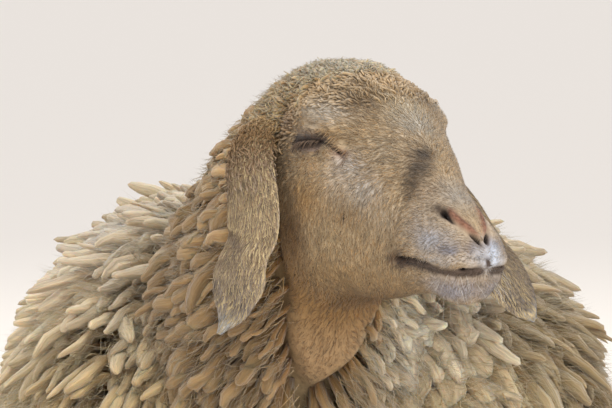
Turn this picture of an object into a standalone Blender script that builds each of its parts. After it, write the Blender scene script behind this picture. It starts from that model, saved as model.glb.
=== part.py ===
"""A life-size resting ewe with long lop ears and a full fleece, as a still model.

She lies on her brisket with her forelegs folded under her and a hind leg drawn up on each
side, and looks a little to her left.  Metres, +Z up, facing -Y, her left side at +X.
The solids are the outside of the coat.  Trunk, neck and head are lofted forms joined into
one body; limbs, tail, ears, eyes and claws are forms of their own, each let into the body
with a thin clearance; two thin cuts then part the body into head, neck and trunk.
"""

import math

import bmesh
import bpy
import numpy as np
from mathutils import Matrix, Vector

# Driving dimensions, in metres and degrees.
EYE_LINE = Vector((0.035, -0.420, 0.530))  # midway between the eyes
HEAD_YAW = math.radians(31)  # the head is turned to her left
NECK_TURN = -0.090  # how far ahead of the eye line the upright line of the turn stands
TRUNK_ROLL = math.radians(4.5)  # she leans on her left side
TRUNK_AXIS = (-0.003, 0.20)  # sideways place and height of the line it rolls about
GAP = 0.0005  # clearance between neighbouring pieces
EYE_RADIUS = 0.0145
EYE_PLACE = (-0.012, 0.0470, -0.004)  # forward, outward and up from the eye line
SLIT_PLACE = (-0.013, 0.0635, -0.004)
SLIT_SIZE = (0.0080, 0.0165, 0.0034)  # half depth, length and height between the lids
SLIT_LEAN = math.radians(19)  # the front corner of the eye lies further in than the back one
HEAD_COLUMNS = 26
TRUNK_COLUMNS = 24
LEG_COLUMNS = 8
SIDES = {"left": 1, "right": -1}

# Head and neck, front of the muzzle last.  Each row: dorsal point (forward, up), ventral
# point (forward, up), half width, level of the widest line (0 ventral to 1 dorsal),
# squareness above it and below it (2 is an ellipse), and share of the head's turn.
HEAD_AND_NECK = (
    ((-0.270, -0.210), (-0.180, -0.320), 0.060, 0.50, 2.0, 2.0, 0.00),
    ((-0.282, -0.154), (-0.095, -0.345), 0.142, 0.50, 2.0, 2.0, 0.00),
    ((-0.250, -0.092), (-0.075, -0.272), 0.130, 0.48, 2.0, 2.1, 0.15),
    ((-0.208, -0.040), (-0.060, -0.214), 0.106, 0.48, 2.0, 2.1, 0.42),
    ((-0.166, 0.000), (-0.046, -0.170), 0.083, 0.49, 2.0, 2.2, 0.72),
    ((-0.126, 0.031), (-0.034, -0.145), 0.067, 0.52, 2.0, 2.3, 0.92),
    ((-0.088, 0.050), (-0.020, -0.132), 0.0615, 0.56, 2.1, 2.5, 1.00),
    ((-0.050, 0.057), (-0.004, -0.128), 0.0600, 0.60, 2.3, 2.5, 1.00),
    ((-0.012, 0.051), (0.014, -0.127), 0.0585, 0.63, 2.4, 2.4, 1.00),
    ((0.020, 0.037), (0.033, -0.122), 0.0515, 0.60, 2.4, 2.3, 1.00),
    ((0.048, 0.014), (0.053, -0.118), 0.0425, 0.55, 2.3, 2.2, 1.00),
    ((0.074, -0.012), (0.074, -0.116), 0.0345, 0.49, 2.2, 2.2, 1.00),
    ((0.096, -0.034), (0.093, -0.118), 0.0305, 0.46, 2.2, 2.2, 1.00),
    ((0.113, -0.050), (0.108, -0.119), 0.0290, 0.46, 2.3, 2.3, 1.00),
    ((0.126, -0.063), (0.121, -0.113), 0.0260, 0.46, 2.3, 2.3, 1.00),
    ((0.134, -0.075), (0.130, -0.103), 0.0185, 0.47, 2.2, 2.2, 1.00),
    ((0.1365, -0.087), (0.1360, -0.091), 0.0020, 0.50, 2.0, 2.0, 1.00),
)
POLL_ROW = 6
NECK_RINGS = 8  # rings up to the poll, and from there to the muzzle
HEAD_RINGS = 21

# The trunk, rump first: back point and belly point as (forward, up), then as above.
TRUNK = (
    ((-0.452, 0.215), (-0.452, 0.205), 0.010, 0.50, 2.0, 2.0),
    ((-0.440, 0.315), (-0.440, 0.090), 0.110, 0.46, 2.0, 2.0),
    ((-0.392, 0.388), (-0.392, 0.012), 0.188, 0.42, 2.1, 2.2),
    ((-0.300, 0.428), (-0.300, -0.008), 0.238, 0.40, 2.3, 2.3),
    ((-0.190, 0.440), (-0.190, -0.010), 0.262, 0.40, 2.4, 2.4),
    ((-0.060, 0.446), (-0.060, -0.010), 0.268, 0.41, 2.4, 2.4),
    ((0.060, 0.454), (0.060, -0.010), 0.265, 0.43, 2.5, 2.4),
    ((0.160, 0.455), (0.160, -0.010), 0.258, 0.45, 2.6, 2.3),
    ((0.245, 0.430), (0.245, -0.010), 0.238, 0.47, 2.5, 2.2),
    ((0.308, 0.382), (0.308, -0.006), 0.200, 0.48, 2.3, 2.1),
    ((0.350, 0.300), (0.350, 0.040), 0.132, 0.48, 2.1, 2.0),
    ((0.368, 0.200), (0.368, 0.190), 0.010, 0.50, 2.0, 2.0),
)
TRUNK_RINGS = 18

# Soft swellings and hollows of the head: centre (forward, outward, up), reach along the
# same three, and push (forward, outward, up).  Each works on both sides.
HEAD_MODELLING = {
    "brow": ((-0.014, 0.056, 0.018), (0.026, 0.022, 0.013), (0.0, 0.0065, 0.002)),
    "orbit": ((-0.004, 0.058, 0.000), (0.022, 0.020, 0.014), (0.002, 0.0045, 0.0)),
    "temple": ((-0.050, 0.060, 0.012), (0.020, 0.025, 0.022), (0.0, -0.0060, 0.0)),
    "tear_hollow": ((0.030, 0.048, -0.014), (0.018, 0.020, 0.016), (0.0, -0.0050, 0.0)),
    "cheek": ((-0.024, 0.050, -0.072), (0.036, 0.030, 0.034), (0.0, 0.0040, 0.0)),
    "cheek_hollow": ((0.052, 0.038, -0.066), (0.024, 0.020, 0.022), (0.0, -0.0035, 0.0)),
    "nasal_side": ((0.080, 0.030, -0.042), (0.026, 0.014, 0.016), (0.0, -0.0030, 0.0)),
    "lip_pad": ((0.112, 0.028, -0.080), (0.018, 0.016, 0.014), (0.0, 0.0030, 0.0)),
    "chin": ((0.112, 0.012, -0.118), (0.016, 0.014, 0.010), (0.002, 0.0010, -0.0020)),
}

# Limbs and tail: stops of a tapering round form, each (outward, forward, up, radius).
FORE_UPPER = (
    (0.150, 0.150, 0.140, 0.062),
    (0.152, 0.205, 0.104, 0.054),
    (0.142, 0.270, 0.078, 0.041),
    (0.132, 0.325, 0.056, 0.033),
    (0.128, 0.356, 0.042, 0.031),
)
FORE_LOWER = (
    (0.127, 0.354, 0.032, 0.029),
    (0.126, 0.312, 0.022, 0.0215),
    (0.128, 0.255, 0.0185, 0.0180),
    (0.131, 0.212, 0.0205, 0.0215),
    (0.134, 0.184, 0.0225, 0.0200),
)
HAUNCH = ((0.176, -0.225, 0.160), (0.116, 0.168, 0.168))
HIND_UPPER = (
    (0.212, -0.105, 0.105, 0.060),
    (0.222, -0.200, 0.080, 0.055),
    (0.220, -0.290, 0.060, 0.043),
    (0.212, -0.352, 0.044, 0.031),
)
HIND_LOWER = (
    (0.212, -0.366, 0.030, 0.027),
    (0.224, -0.318, 0.0225, 0.0225),
    (0.240, -0.260, 0.0190, 0.0190),
    (0.252, -0.210, 0.0210, 0.0220),
    (0.258, -0.180, 0.0225, 0.0200),
)
TAIL = (
    (0.000, -0.385, 0.280, 0.050),
    (0.000, -0.445, 0.220, 0.055),
    (-0.006, -0.470, 0.140, 0.054),
    (-0.022, -0.486, 0.066, 0.048),
    (-0.052, -0.506, 0.034, 0.038),
    (-0.084, -0.518, 0.024, 0.025),
)

# Feet: the heel of the pair of claws and the way the toes point, as (outward, forward, up).
FEET = {
    "fore": ((0.1350, 0.176, 0.0225), (0.10, -1.0, 0.0)),
    "hind": ((0.2595, -0.172, 0.0225), (0.20, 1.0, 0.0)),
}
CLAW_SPREAD = 0.0108  # half the distance between the two claws of a foot
CLAW_SIZE = (0.052, 0.0195, 0.034)  # length, width, height
CLAW_RINGS = (  # share of the length, of the width, of the height, and rise of the middle
    (0.00, 0.80, 0.80, 0.000),
    (0.28, 1.00, 1.00, -0.001),
    (0.62, 0.92, 0.80, -0.004),
    (0.86, 0.66, 0.52, -0.007),
    (1.00, 0.30, 0.24, -0.010),
)

# The hanging ears: (forward, outward, up) from the eye line, and half width.
EAR_LINE = {
    "left": (
        (-0.078, 0.044, 0.012, 0.012),
        (-0.074, 0.062, -0.001, 0.019),
        (-0.063, 0.086, -0.033, 0.029),
        (-0.048, 0.108, -0.064, 0.034),
        (-0.034, 0.126, -0.093, 0.033),
        (-0.022, 0.143, -0.120, 0.031),
        (-0.014, 0.155, -0.137, 0.019),
        (-0.010, 0.163, -0.146, 0.0035),
    ),
    "right": (
        (-0.078, 0.046, 0.014, 0.012),
        (-0.076, 0.062, 0.004, 0.019),
        (-0.064, 0.077, -0.024, 0.027),
        (-0.057, 0.081, -0.054, 0.030),
        (-0.058, 0.085, -0.086, 0.027),
        (-0.062, 0.093, -0.116, 0.028),
        (-0.063, 0.102, -0.137, 0.020),
        (-0.064, 0.109, -0.150, 0.0035),
    ),
}
EAR_ACROSS = {"left": (0.50, -0.60, -0.60), "right": (1.00, -0.25, 0.00)}
EAR_THICKNESS = 0.0036
EAR_CAMBER = 0.20  # rise of the middle over the edges, as a share of the half width
EAR_RINGS = 13
EAR_COLUMNS = 12

# Thin plane cuts: a point, a second point along the cut, and the plate's size.
HEAD_CUT = ((-0.112, 0.055), (-0.024, -0.150), 0.34)  # (forward, up) in the head
NECK_CUT = ((0.150, 0.520), (0.420, 0.250), 0.90)  # (forward, up) in the room

MATERIALS = {  # base colour and roughness
    "fleece_wool": ((0.60, 0.45, 0.28), 0.95),
    "face_hair": ((0.50, 0.33, 0.18), 0.85),
    "ear_hair": ((0.42, 0.31, 0.22), 0.85),
    "leg_hair": ((0.56, 0.42, 0.28), 0.85),
    "eye_dark": ((0.03, 0.02, 0.015), 0.20),
    "hoof_horn": ((0.12, 0.09, 0.07), 0.55),
}


def smooth_rows(rows, samples):
    """Rows of numbers read at fractional row numbers, on cubics through every row whose slope
    there is half the step between its neighbours."""
    rows = np.asarray(rows, float)
    slopes = np.gradient(rows, axis=0)
    low = np.clip(np.floor(samples).astype(int), 0, len(rows) - 2)
    t = (samples - low)[:, None]
    return (
        (2 * t**3 - 3 * t**2 + 1) * rows[low]
        + (t**3 - 2 * t**2 + t) * slopes[low]
        + (3 * t**2 - 2 * t**3) * rows[low + 1]
        + (t**3 - t**2) * slopes[low + 1]
    )


def flat_rows(table):
    """Each row of a table of sections as plain numbers."""
    return [[*row[0], *row[1], *row[2:]] for row in table]


def section_grid(rows, columns):
    """Closed sections as (rings, columns, 3) in (forward, left, up).  A section is two half
    superellipses, above and below its widest line, in the plane through its two end points."""
    dorsal, ventral = rows[:, 0:2], rows[:, 2:4]
    width, level = rows[:, 4:5], rows[:, 5:6]
    angle = np.arange(columns) * 2 * math.pi / columns
    sine, cosine = np.sin(angle)[None], np.cos(angle)[None]
    above = cosine >= 0
    power = 2 / np.where(above, rows[:, 6:7], rows[:, 7:8])
    reach = np.where(above, 1 - level, level) * np.sign(cosine) * np.abs(cosine) ** power
    side = width * np.sign(sine) * np.abs(sine) ** power
    height = level + reach
    middle = ventral[:, None, :] + height[..., None] * (dorsal - ventral)[:, None, :]
    return np.stack([middle[..., 0], side, middle[..., 1]], axis=-1)


def model_head(grid):
    """Adds the soft swellings: each moves the grid by its push, times a bell of distance."""
    for centre, reach, push in HEAD_MODELLING.values():
        for side in SIDES.values():
            middle = np.array(centre) * (1, side, 1)
            way = np.array(push) * (1, side, 1)
            bell = np.exp(-(((grid - middle) / reach) ** 2).sum(axis=-1))
            grid = grid + bell[..., None] * way
    return grid


def turn_neck(grid, share):
    """(forward, left, up) from the eye line to the room: each ring turns about an upright
    line behind the eyes by its share of the head's turn."""
    yaw = HEAD_YAW * share[:, None]
    ahead, left = grid[..., 0] - NECK_TURN, grid[..., 1]
    x = np.sin(yaw) * ahead + np.cos(yaw) * left + math.sin(HEAD_YAW) * NECK_TURN
    y = np.sin(yaw) * left - np.cos(yaw) * ahead - math.cos(HEAD_YAW) * NECK_TURN
    return np.stack([x, y, grid[..., 2]], axis=-1) + np.array(EYE_LINE)


def head_point(place, side):
    """A point of the head, (forward, outward, up) from the eye line, in the room."""
    forward, outward, up = place
    grid = np.array([[[forward, outward * side, up]]])
    return Vector(turn_neck(grid, np.ones(1))[0, 0])


def mesh_object(name, points, faces):
    """A mesh object whose faces point outwards."""
    mesh = bpy.data.meshes.new(name)
    mesh.from_pydata(points, [], faces)
    work = bmesh.new()
    work.from_mesh(mesh)
    bmesh.ops.triangulate(work, faces=work.faces)
    bmesh.ops.recalc_face_normals(work, faces=work.faces)
    work.to_mesh(mesh)
    work.free()
    obj = bpy.data.objects.new(name, mesh)
    bpy.context.scene.collection.objects.link(obj)
    return obj


def tube_object(name, grid):
    """A closed skin over a (rings, columns, 3) grid, with a fan over each end ring."""
    rings, columns = grid.shape[:2]
    points = np.concatenate([grid.reshape(-1, 3), grid[[0, -1]].mean(axis=1)])
    ring, column = np.meshgrid(np.arange(rings - 1), np.arange(columns), indexing="ij")
    here, beside = ring * columns + column, ring * columns + (column + 1) % columns
    faces = np.stack([here, beside, beside + columns, here + columns], axis=-1)
    faces = faces.reshape(-1, 4).tolist()
    pole, last = rings * columns, (rings - 1) * columns
    for a in range(columns):
        b = (a + 1) % columns
        faces += [[pole, b, a], [pole + 1, last + a, last + b]]
    return mesh_object(name, points.tolist(), faces)


def head_and_neck():
    """The head and neck as one loft, from inside the chest to the muzzle."""
    last = len(HEAD_AND_NECK) - 1
    neck = np.linspace(0, POLL_ROW, NECK_RINGS, endpoint=False)
    rows = smooth_rows(
        flat_rows(HEAD_AND_NECK), np.append(neck, np.linspace(POLL_ROW, last, HEAD_RINGS))
    )
    grid = model_head(section_grid(rows, HEAD_COLUMNS))
    return tube_object("head_and_neck", turn_neck(grid, rows[:, 8]))


def trunk_form():
    """The fleeced barrel of the body, rolled a little about its length."""
    samples = np.linspace(0, len(TRUNK) - 1, TRUNK_RINGS)
    grid = section_grid(smooth_rows(flat_rows(TRUNK), samples), TRUNK_COLUMNS)
    left, height = TRUNK_AXIS
    points = np.stack([grid[..., 1], -grid[..., 0], grid[..., 2] - height], axis=-1)
    points = points @ np.array(Matrix.Rotation(TRUNK_ROLL, 3, "Y")).T
    return tube_object("trunk_form", points + (left, 0, height))


def limb(stops, side=1, grow=0.0, columns=LEG_COLUMNS):
    """A round-ended form along a smooth line through its stops; grow swells it all over."""
    stops = [(side * out, -forward, up, radius) for out, forward, up, radius in stops]
    line = smooth_rows(stops, np.linspace(0, len(stops) - 1, (len(stops) - 1) * 2 + 1))
    centre, radius = line[:, :3], line[:, 3:] + grow
    way = np.gradient(centre, axis=0)
    way /= np.linalg.norm(way, axis=1, keepdims=True)
    across = np.cross(way, (0, 0, 1))
    across /= np.linalg.norm(across, axis=1, keepdims=True)
    over = np.cross(across, way)
    angle = np.arange(columns) * 2 * math.pi / columns
    ring = across[:, None] * np.cos(angle)[:, None] + over[:, None] * np.sin(angle)[:, None]
    grid = centre[:, None] + ring * radius[:, None]
    for end, outward in ((0, -1), (-1, 1)):
        out = outward * (0.45 * radius[end] + grow) * way[end]
        cap = (centre[end] + out + ring[end] * radius[end] * 0.6)[None]
        grid = np.concatenate([cap, grid] if end == 0 else [grid, cap])
    return tube_object("limb", grid)


def ball(centre, radii, grow=0.0, columns=12, rings=8, spin=0.0):
    """An ellipsoid about a centre, (across, along, up) radii, turned about the upright."""
    across = np.linspace(0, math.pi, rings + 1)[1:-1, None]
    around = np.arange(columns)[None] * 2 * math.pi / columns
    shape = np.stack(np.broadcast_arrays(
        np.sin(across) * np.cos(around), np.sin(across) * np.sin(around), np.cos(across)
    ), axis=-1)
    radii = np.array(radii) + grow
    turn = np.array(Matrix.Rotation(spin, 3, "Z"))
    obj = tube_object("ball", shape * radii @ turn.T + np.array(centre))
    top, bottom = obj.data.vertices[len(shape) * columns], obj.data.vertices[-1]
    top.co.z, bottom.co.z = centre[2] + radii[2], centre[2] - radii[2]
    return obj


def ear(word, grow=0.0):
    """A leaf-shaped flap along its line: each section is a thin lens, bowed outwards."""
    stops = EAR_LINE[word]
    line = smooth_rows(stops, np.linspace(0, len(stops) - 1, EAR_RINGS))
    centre, half = line[:, :3].copy(), line[:, 3:] + grow
    for end, inner in ((0, 1), (-1, -2)):
        step = centre[end] - centre[inner]
        centre[end] += step / np.linalg.norm(step) * grow
    way = np.gradient(centre, axis=0)
    way /= np.linalg.norm(way, axis=1, keepdims=True)
    lean = np.array(EAR_ACROSS[word])
    across = lean - way * (way @ lean)[:, None]
    across /= np.linalg.norm(across, axis=1, keepdims=True)
    out = np.cross(across, way)
    out *= np.sign(out[:, 1:2])
    angle = np.arange(EAR_COLUMNS) * 2 * math.pi / EAR_COLUMNS
    spread = np.cos(angle)[None]
    lift = half * EAR_CAMBER * (1 - spread**2) + (EAR_THICKNESS / 2 + 2 * grow) * np.sin(angle)
    grid = centre[:, None] + across[:, None] * (half * spread)[..., None]
    grid += out[:, None] * lift[..., None]
    grid[..., 1] *= SIDES[word]
    return tube_object(f"ear_{word}", turn_neck(grid, np.ones(len(grid))))


def claw(pair, side, sign, grow=0.0):
    """One claw of a foot (sign 1 outer, -1 inner): rounded rings from heel to toe."""
    heel, way = FEET[pair]
    length, width, height = CLAW_SIZE
    forward = Vector((way[0], way[1], 0)).normalized()
    lateral = Vector((abs(forward.y), -forward.x * math.copysign(1, forward.y), 0))
    start = Vector(heel) + lateral * sign * CLAW_SPREAD
    toe = (forward + lateral * 0.08 * sign).normalized()
    rings = []
    for along, wide, tall, rise in CLAW_RINGS:
        past = {0.0: -grow, 1.0: grow}.get(along, 0.0)
        middle = start + toe * (along * length + past) + Vector((0, 0, rise))
        ring = []
        for step in range(8):
            angle = (step + 0.5) * 2 * math.pi / 8
            out = lateral * math.cos(angle) * (wide * width / 2 + grow)
            ring.append(middle + out + Vector((0, 0, math.sin(angle) * (tall * height / 2 + grow))))
        rings.append(ring)
    grid = np.array(rings) * (side, -1, 1)
    return tube_object("claw", grid)


def combine(first, others, operation):
    """The first object after a Boolean with each of the others, which are removed."""
    for other in others:
        modifier = first.modifiers.new("step", "BOOLEAN")
        modifier.operation = operation
        modifier.solver = "EXACT"
        modifier.object = other
        graph = bpy.context.evaluated_depsgraph_get()
        made = bpy.data.meshes.new_from_object(first.evaluated_get(graph))
        first.modifiers.clear()
        first.data = made
        bpy.data.objects.remove(other)
    return first


def box(name, low, high):
    """A box between two corners."""
    corners = [[(low, high)[x][0], (low, high)[y][1], (low, high)[z][2]]
               for x in (0, 1) for y in (0, 1) for z in (0, 1)]
    faces = [[0, 1, 3, 2], [4, 6, 7, 5], [0, 4, 5, 1], [2, 3, 7, 6], [0, 2, 6, 4], [1, 5, 7, 3]]
    return mesh_object(name, corners, faces)


def ground(obj):
    """The object cut level at the floor."""
    return combine(obj, [box("below", (-2, -2, -1), (2, 2, 0))], "DIFFERENCE")


def plate(start, end, size, way_left):
    """A thin plate through two points, square, level across: the tool of a plane cut."""
    along = (end - start).normalized()
    normal = along.cross(way_left).normalized()
    middle = (start + end) / 2
    points = [
        middle + along * a * size / 2 + way_left * b * size / 2 + normal * c * GAP / 2
        for a in (-1, 1) for b in (-1, 1) for c in (-1, 1)
    ]
    faces = [[0, 1, 3, 2], [4, 6, 7, 5], [0, 4, 5, 1], [2, 3, 7, 6], [0, 2, 6, 4], [1, 5, 7, 3]]
    return mesh_object("plate", points, faces)


def tidied(obj, name, material):
    """The finished node: stray and doubled points gone, named, with its material."""
    work = bmesh.new()
    work.from_mesh(obj.data)
    bmesh.ops.remove_doubles(work, verts=work.verts, dist=2e-5)
    bmesh.ops.dissolve_degenerate(work, edges=work.edges, dist=1e-5)
    bmesh.ops.dissolve_limit(work, angle_limit=0.001, verts=work.verts, edges=work.edges)
    bmesh.ops.triangulate(work, faces=work.faces)
    bmesh.ops.recalc_face_normals(work, faces=work.faces)
    work.to_mesh(obj.data)
    work.free()
    obj.name = obj.data.name = name
    obj.data.materials.clear()
    obj.data.materials.append(bpy.data.materials[material])
    return obj


def islands(obj):
    """The loose bodies of an object, largest first, as meshes' face lists of points."""
    work = bmesh.new()
    work.from_mesh(obj.data)
    work.verts.index_update()
    seen, groups = set(), []
    for vertex in work.verts:
        if vertex.index in seen:
            continue
        stack, group = [vertex], set()
        while stack:
            here = stack.pop()
            if here.index in group:
                continue
            group.add(here.index)
            stack += [edge.other_vert(here) for edge in here.link_edges]
        seen |= group
        groups.append(group)
    points = [tuple(vertex.co) for vertex in work.verts]
    faces = [[vertex.index for vertex in face.verts] for face in work.faces]
    work.free()
    made = []
    for group in sorted(groups, key=len, reverse=True):
        order = {old: new for new, old in enumerate(sorted(group))}
        mine = [[order[index] for index in face] for face in faces if face[0] in group]
        made.append(mesh_object("island", [points[index] for index in sorted(group)], mine))
    bpy.data.objects.remove(obj)
    return made


def make_materials():
    for name, (colour, roughness) in MATERIALS.items():
        material = bpy.data.materials.new(name)
        material.use_nodes = True
        shader = material.node_tree.nodes["Principled BSDF"]
        shader.inputs["Base Color"].default_value = (*colour, 1)
        shader.inputs["Roughness"].default_value = roughness


def make_legs(body):
    """The four legs with their claws, let into the body; returns the body."""
    for word, side in SIDES.items():
        for pair, stops in (("fore", (FORE_UPPER, FORE_LOWER)), ("hind", (HIND_UPPER, HIND_LOWER))):
            parts = [limb(row, side) for row in stops]
            room = [limb(row, side, GAP) for row in stops]
            if pair == "hind":
                (out, forward, up), radii = HAUNCH
                centre = (side * out, -forward, up)
                parts.append(ball(centre, radii, columns=14, rings=8))
                room.append(ball(centre, radii, GAP, columns=14, rings=8))
            leg = combine(parts[0], parts[1:], "UNION")
            body = combine(body, room, "DIFFERENCE")
            for which, sign in (("outer", 1), ("inner", -1)):
                leg = combine(leg, [claw(pair, side, sign, GAP)], "DIFFERENCE")
                body = combine(body, [claw(pair, side, sign, GAP)], "DIFFERENCE")
                tidied(ground(claw(pair, side, sign)), f"hoof_{pair}_{word}_{which}", "hoof_horn")
            tidied(ground(leg), f"{pair}_leg_{word}", "leg_hair")
    return body


def make_ears_and_eyes(body):
    """Ears and eyes, let into the body; returns the body."""
    for word, side in SIDES.items():
        body = combine(body, [ear(word, 2 * GAP)], "DIFFERENCE")
        tidied(ear(word), f"ear_{word}", "ear_hair")
        place = head_point(EYE_PLACE, side)
        body = combine(
            body,
            [
                ball(place, (EYE_RADIUS,) * 3, GAP),
                ball(head_point(SLIT_PLACE, side), SLIT_SIZE, spin=HEAD_YAW + side * SLIT_LEAN),
            ],
            "DIFFERENCE",
        )
        tidied(ball(place, (EYE_RADIUS,) * 3), f"eye_{word}", "eye_dark")
    return body


def centre_all():
    """Moves everything so that the middle of the whole stands over the origin."""
    low, high = Vector((9, 9, 9)), Vector((-9, -9, -9))
    for obj in bpy.data.objects:
        for vertex in obj.data.vertices:
            low = Vector(map(min, low, vertex.co))
            high = Vector(map(max, high, vertex.co))
    shift = Matrix.Translation((-(low.x + high.x) / 2, -(low.y + high.y) / 2, 0))
    for obj in bpy.data.objects:
        obj.data.transform(shift)


def main():
    for obj in list(bpy.data.objects):
        bpy.data.objects.remove(obj)
    make_materials()
    body = combine(trunk_form(), [head_and_neck()], "UNION")
    body = make_legs(body)
    body = combine(body, [limb(TAIL, grow=GAP, columns=12)], "DIFFERENCE")
    tidied(ground(limb(TAIL, columns=12)), "tail", "fleece_wool")
    body = ground(make_ears_and_eyes(body))
    (near, far, size), left = HEAD_CUT, head_point((0, 1, 0), 1) - EYE_LINE
    cuts = [plate(head_point((near[0], 0, near[1]), 1), head_point((far[0], 0, far[1]), 1),
                  size, left)]
    near, far, size = NECK_CUT
    cuts.append(plate(Vector((0, -near[0], near[1])), Vector((0, -far[0], far[1])), size,
                      Vector((1, 0, 0))))
    body = combine(body, cuts, "DIFFERENCE")
    pieces = islands(body)
    for extra in pieces[3:]:
        print("loose crumb", len(extra.data.vertices), [round(v, 4) for v in extra.dimensions])
        bpy.data.objects.remove(extra)
    pieces = sorted(pieces[:3], key=lambda obj: sum(v.co.y for v in obj.data.vertices)
                    / len(obj.data.vertices))
    for obj, name, material in zip(
        pieces, ("head", "neck", "trunk"), ("face_hair", "fleece_wool", "fleece_wool")
    ):
        tidied(obj, name, material)
    centre_all()


main()
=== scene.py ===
"""The resting ewe's looks: one skin with lids, nostrils and lips, and the wool and hair on it.

The forms repeat the tables of the solids, in metres, and are placed from the solids' own
boxes.  Each form is a pair of grids: where the coat ends, and the skin under it by the
coat's depth.  Every lock and hair then grows from the inner grid towards the outer one.
"""

import math

import bpy
import numpy as np
from mathutils import Matrix, Vector
from mathutils.bvhtree import BVHTree


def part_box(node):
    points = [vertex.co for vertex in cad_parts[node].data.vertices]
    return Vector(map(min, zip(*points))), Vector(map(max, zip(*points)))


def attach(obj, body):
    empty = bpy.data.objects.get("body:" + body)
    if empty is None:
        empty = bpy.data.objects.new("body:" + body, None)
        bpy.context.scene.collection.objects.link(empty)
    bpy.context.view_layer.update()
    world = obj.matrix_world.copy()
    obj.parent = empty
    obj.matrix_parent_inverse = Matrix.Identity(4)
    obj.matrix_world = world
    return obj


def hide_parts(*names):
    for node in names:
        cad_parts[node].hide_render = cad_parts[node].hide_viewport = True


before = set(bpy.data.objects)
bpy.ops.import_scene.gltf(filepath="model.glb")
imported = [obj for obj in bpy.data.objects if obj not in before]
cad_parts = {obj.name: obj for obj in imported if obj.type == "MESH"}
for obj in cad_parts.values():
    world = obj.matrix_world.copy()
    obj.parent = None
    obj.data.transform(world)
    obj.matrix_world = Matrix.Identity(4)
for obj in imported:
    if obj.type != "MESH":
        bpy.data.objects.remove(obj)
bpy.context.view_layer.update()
SIDES = {"left": 1, "right": -1}

# Where the head is, from the eyes' boxes: (forward, outward, up) from the eye line is the
# place of an eye, and the line between the eyes gives the head's turn.
EYE_PLACE = (-0.012, 0.0470, -0.004)
EYES = {word: sum(np.array(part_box(f"eye_{word}"))) / 2 for word in SIDES}
EYE_RADIUS = float(np.ptp(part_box("eye_left"), axis=0)[2]) / 2
ACROSS = EYES["left"] - EYES["right"]
HEAD_YAW = math.atan2(ACROSS[1], ACROSS[0])
HEAD_FORWARD = np.array((math.sin(HEAD_YAW), -math.cos(HEAD_YAW), 0.0))
HEAD_LEFT = np.array((math.cos(HEAD_YAW), math.sin(HEAD_YAW), 0.0))
EYE_LINE = (EYES["left"] + EYES["right"]) / 2 - HEAD_FORWARD * EYE_PLACE[0] - (0, 0, EYE_PLACE[2])
ROOM_ORIGIN = EYE_LINE - (0.035, -0.420, 0.530)  # the origin that the tables are drawn from
NECK_TURN = -0.090
TRUNK_ROLL = math.radians(4.5)
TRUNK_AXIS = (-0.003, 0.20)

# Head and neck, front of the muzzle last.  Each row: dorsal point (forward, up), ventral
# point (forward, up), half width, level of the widest line (0 ventral to 1 dorsal),
# squareness above it and below it (2 is an ellipse), share of the head's turn, and the
# coat's depth.
HEAD_AND_NECK = (
    (-0.27, -0.21, -0.18, -0.32, 0.06, 0.5, 2.0, 2.0, 0.0, 0.03),
    (-0.282, -0.154, -0.095, -0.345, 0.142, 0.5, 2.0, 2.0, 0.0, 0.045),
    (-0.25, -0.092, -0.075, -0.272, 0.13, 0.48, 2.0, 2.1, 0.15, 0.042),
    (-0.208, -0.04, -0.06, -0.214, 0.106, 0.48, 2.0, 2.1, 0.42, 0.036),
    (-0.166, 0.0, -0.046, -0.17, 0.083, 0.49, 2.0, 2.2, 0.72, 0.026),
    (-0.126, 0.031, -0.034, -0.145, 0.067, 0.52, 2.0, 2.3, 0.92, 0.016),
    (-0.088, 0.05, -0.02, -0.132, 0.0615, 0.56, 2.1, 2.5, 1.0, 0.0095),
    (-0.05, 0.057, -0.004, -0.128, 0.06, 0.6, 2.3, 2.5, 1.0, 0.0055),
    (-0.012, 0.051, 0.014, -0.127, 0.0585, 0.63, 2.4, 2.4, 1.0, 0.003),
    (0.02, 0.037, 0.033, -0.122, 0.0515, 0.6, 2.4, 2.3, 1.0, 0.0022),
    (0.048, 0.014, 0.053, -0.118, 0.0425, 0.55, 2.3, 2.2, 1.0, 0.002),
    (0.074, -0.012, 0.074, -0.116, 0.0345, 0.49, 2.2, 2.2, 1.0, 0.0018),
    (0.096, -0.034, 0.093, -0.118, 0.0305, 0.46, 2.2, 2.2, 1.0, 0.0016),
    (0.113, -0.05, 0.108, -0.119, 0.029, 0.46, 2.3, 2.3, 1.0, 0.0014),
    (0.126, -0.063, 0.121, -0.113, 0.026, 0.46, 2.3, 2.3, 1.0, 0.0012),
    (0.134, -0.075, 0.13, -0.103, 0.0185, 0.47, 2.2, 2.2, 1.0, 0.0012),
    (0.1365, -0.087, 0.136, -0.091, 0.002, 0.5, 2.0, 2.0, 1.0, 0.0012),
)
# The greatest step between the skin's rings, read at row numbers.
RING_STEPS = ((0, 0.01), (4, 0.007), (6, 0.0034), (6.6, 0.0017), (9.2, 0.0015), (10, 0.0022),
              (11.2, 0.0017), (12, 0.0013), (16, 0.001))
SHARE, DEPTH = 8, 9  # columns of the turn's share and the coat's depth
HEAD_COLUMNS = 232
RING_TRIALS = 1601  # places at which the rings' steps are measured
# The skin's columns crowd about a line from behind the eye, through the slit between its
# lids, to the front of the muzzle: (forward, up).
CROWDED_LINE = ((-0.3, -0.17), (-0.12, -0.05), (-0.06, -0.006), (0.004, -0.005), (0.016, -0.011),
                (0.05, -0.034), (0.09, -0.062), (0.12, -0.078), (0.1365, -0.089))
CROWDING = (2.2, 0.30)  # how much denser, and over how wide an angle

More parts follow.
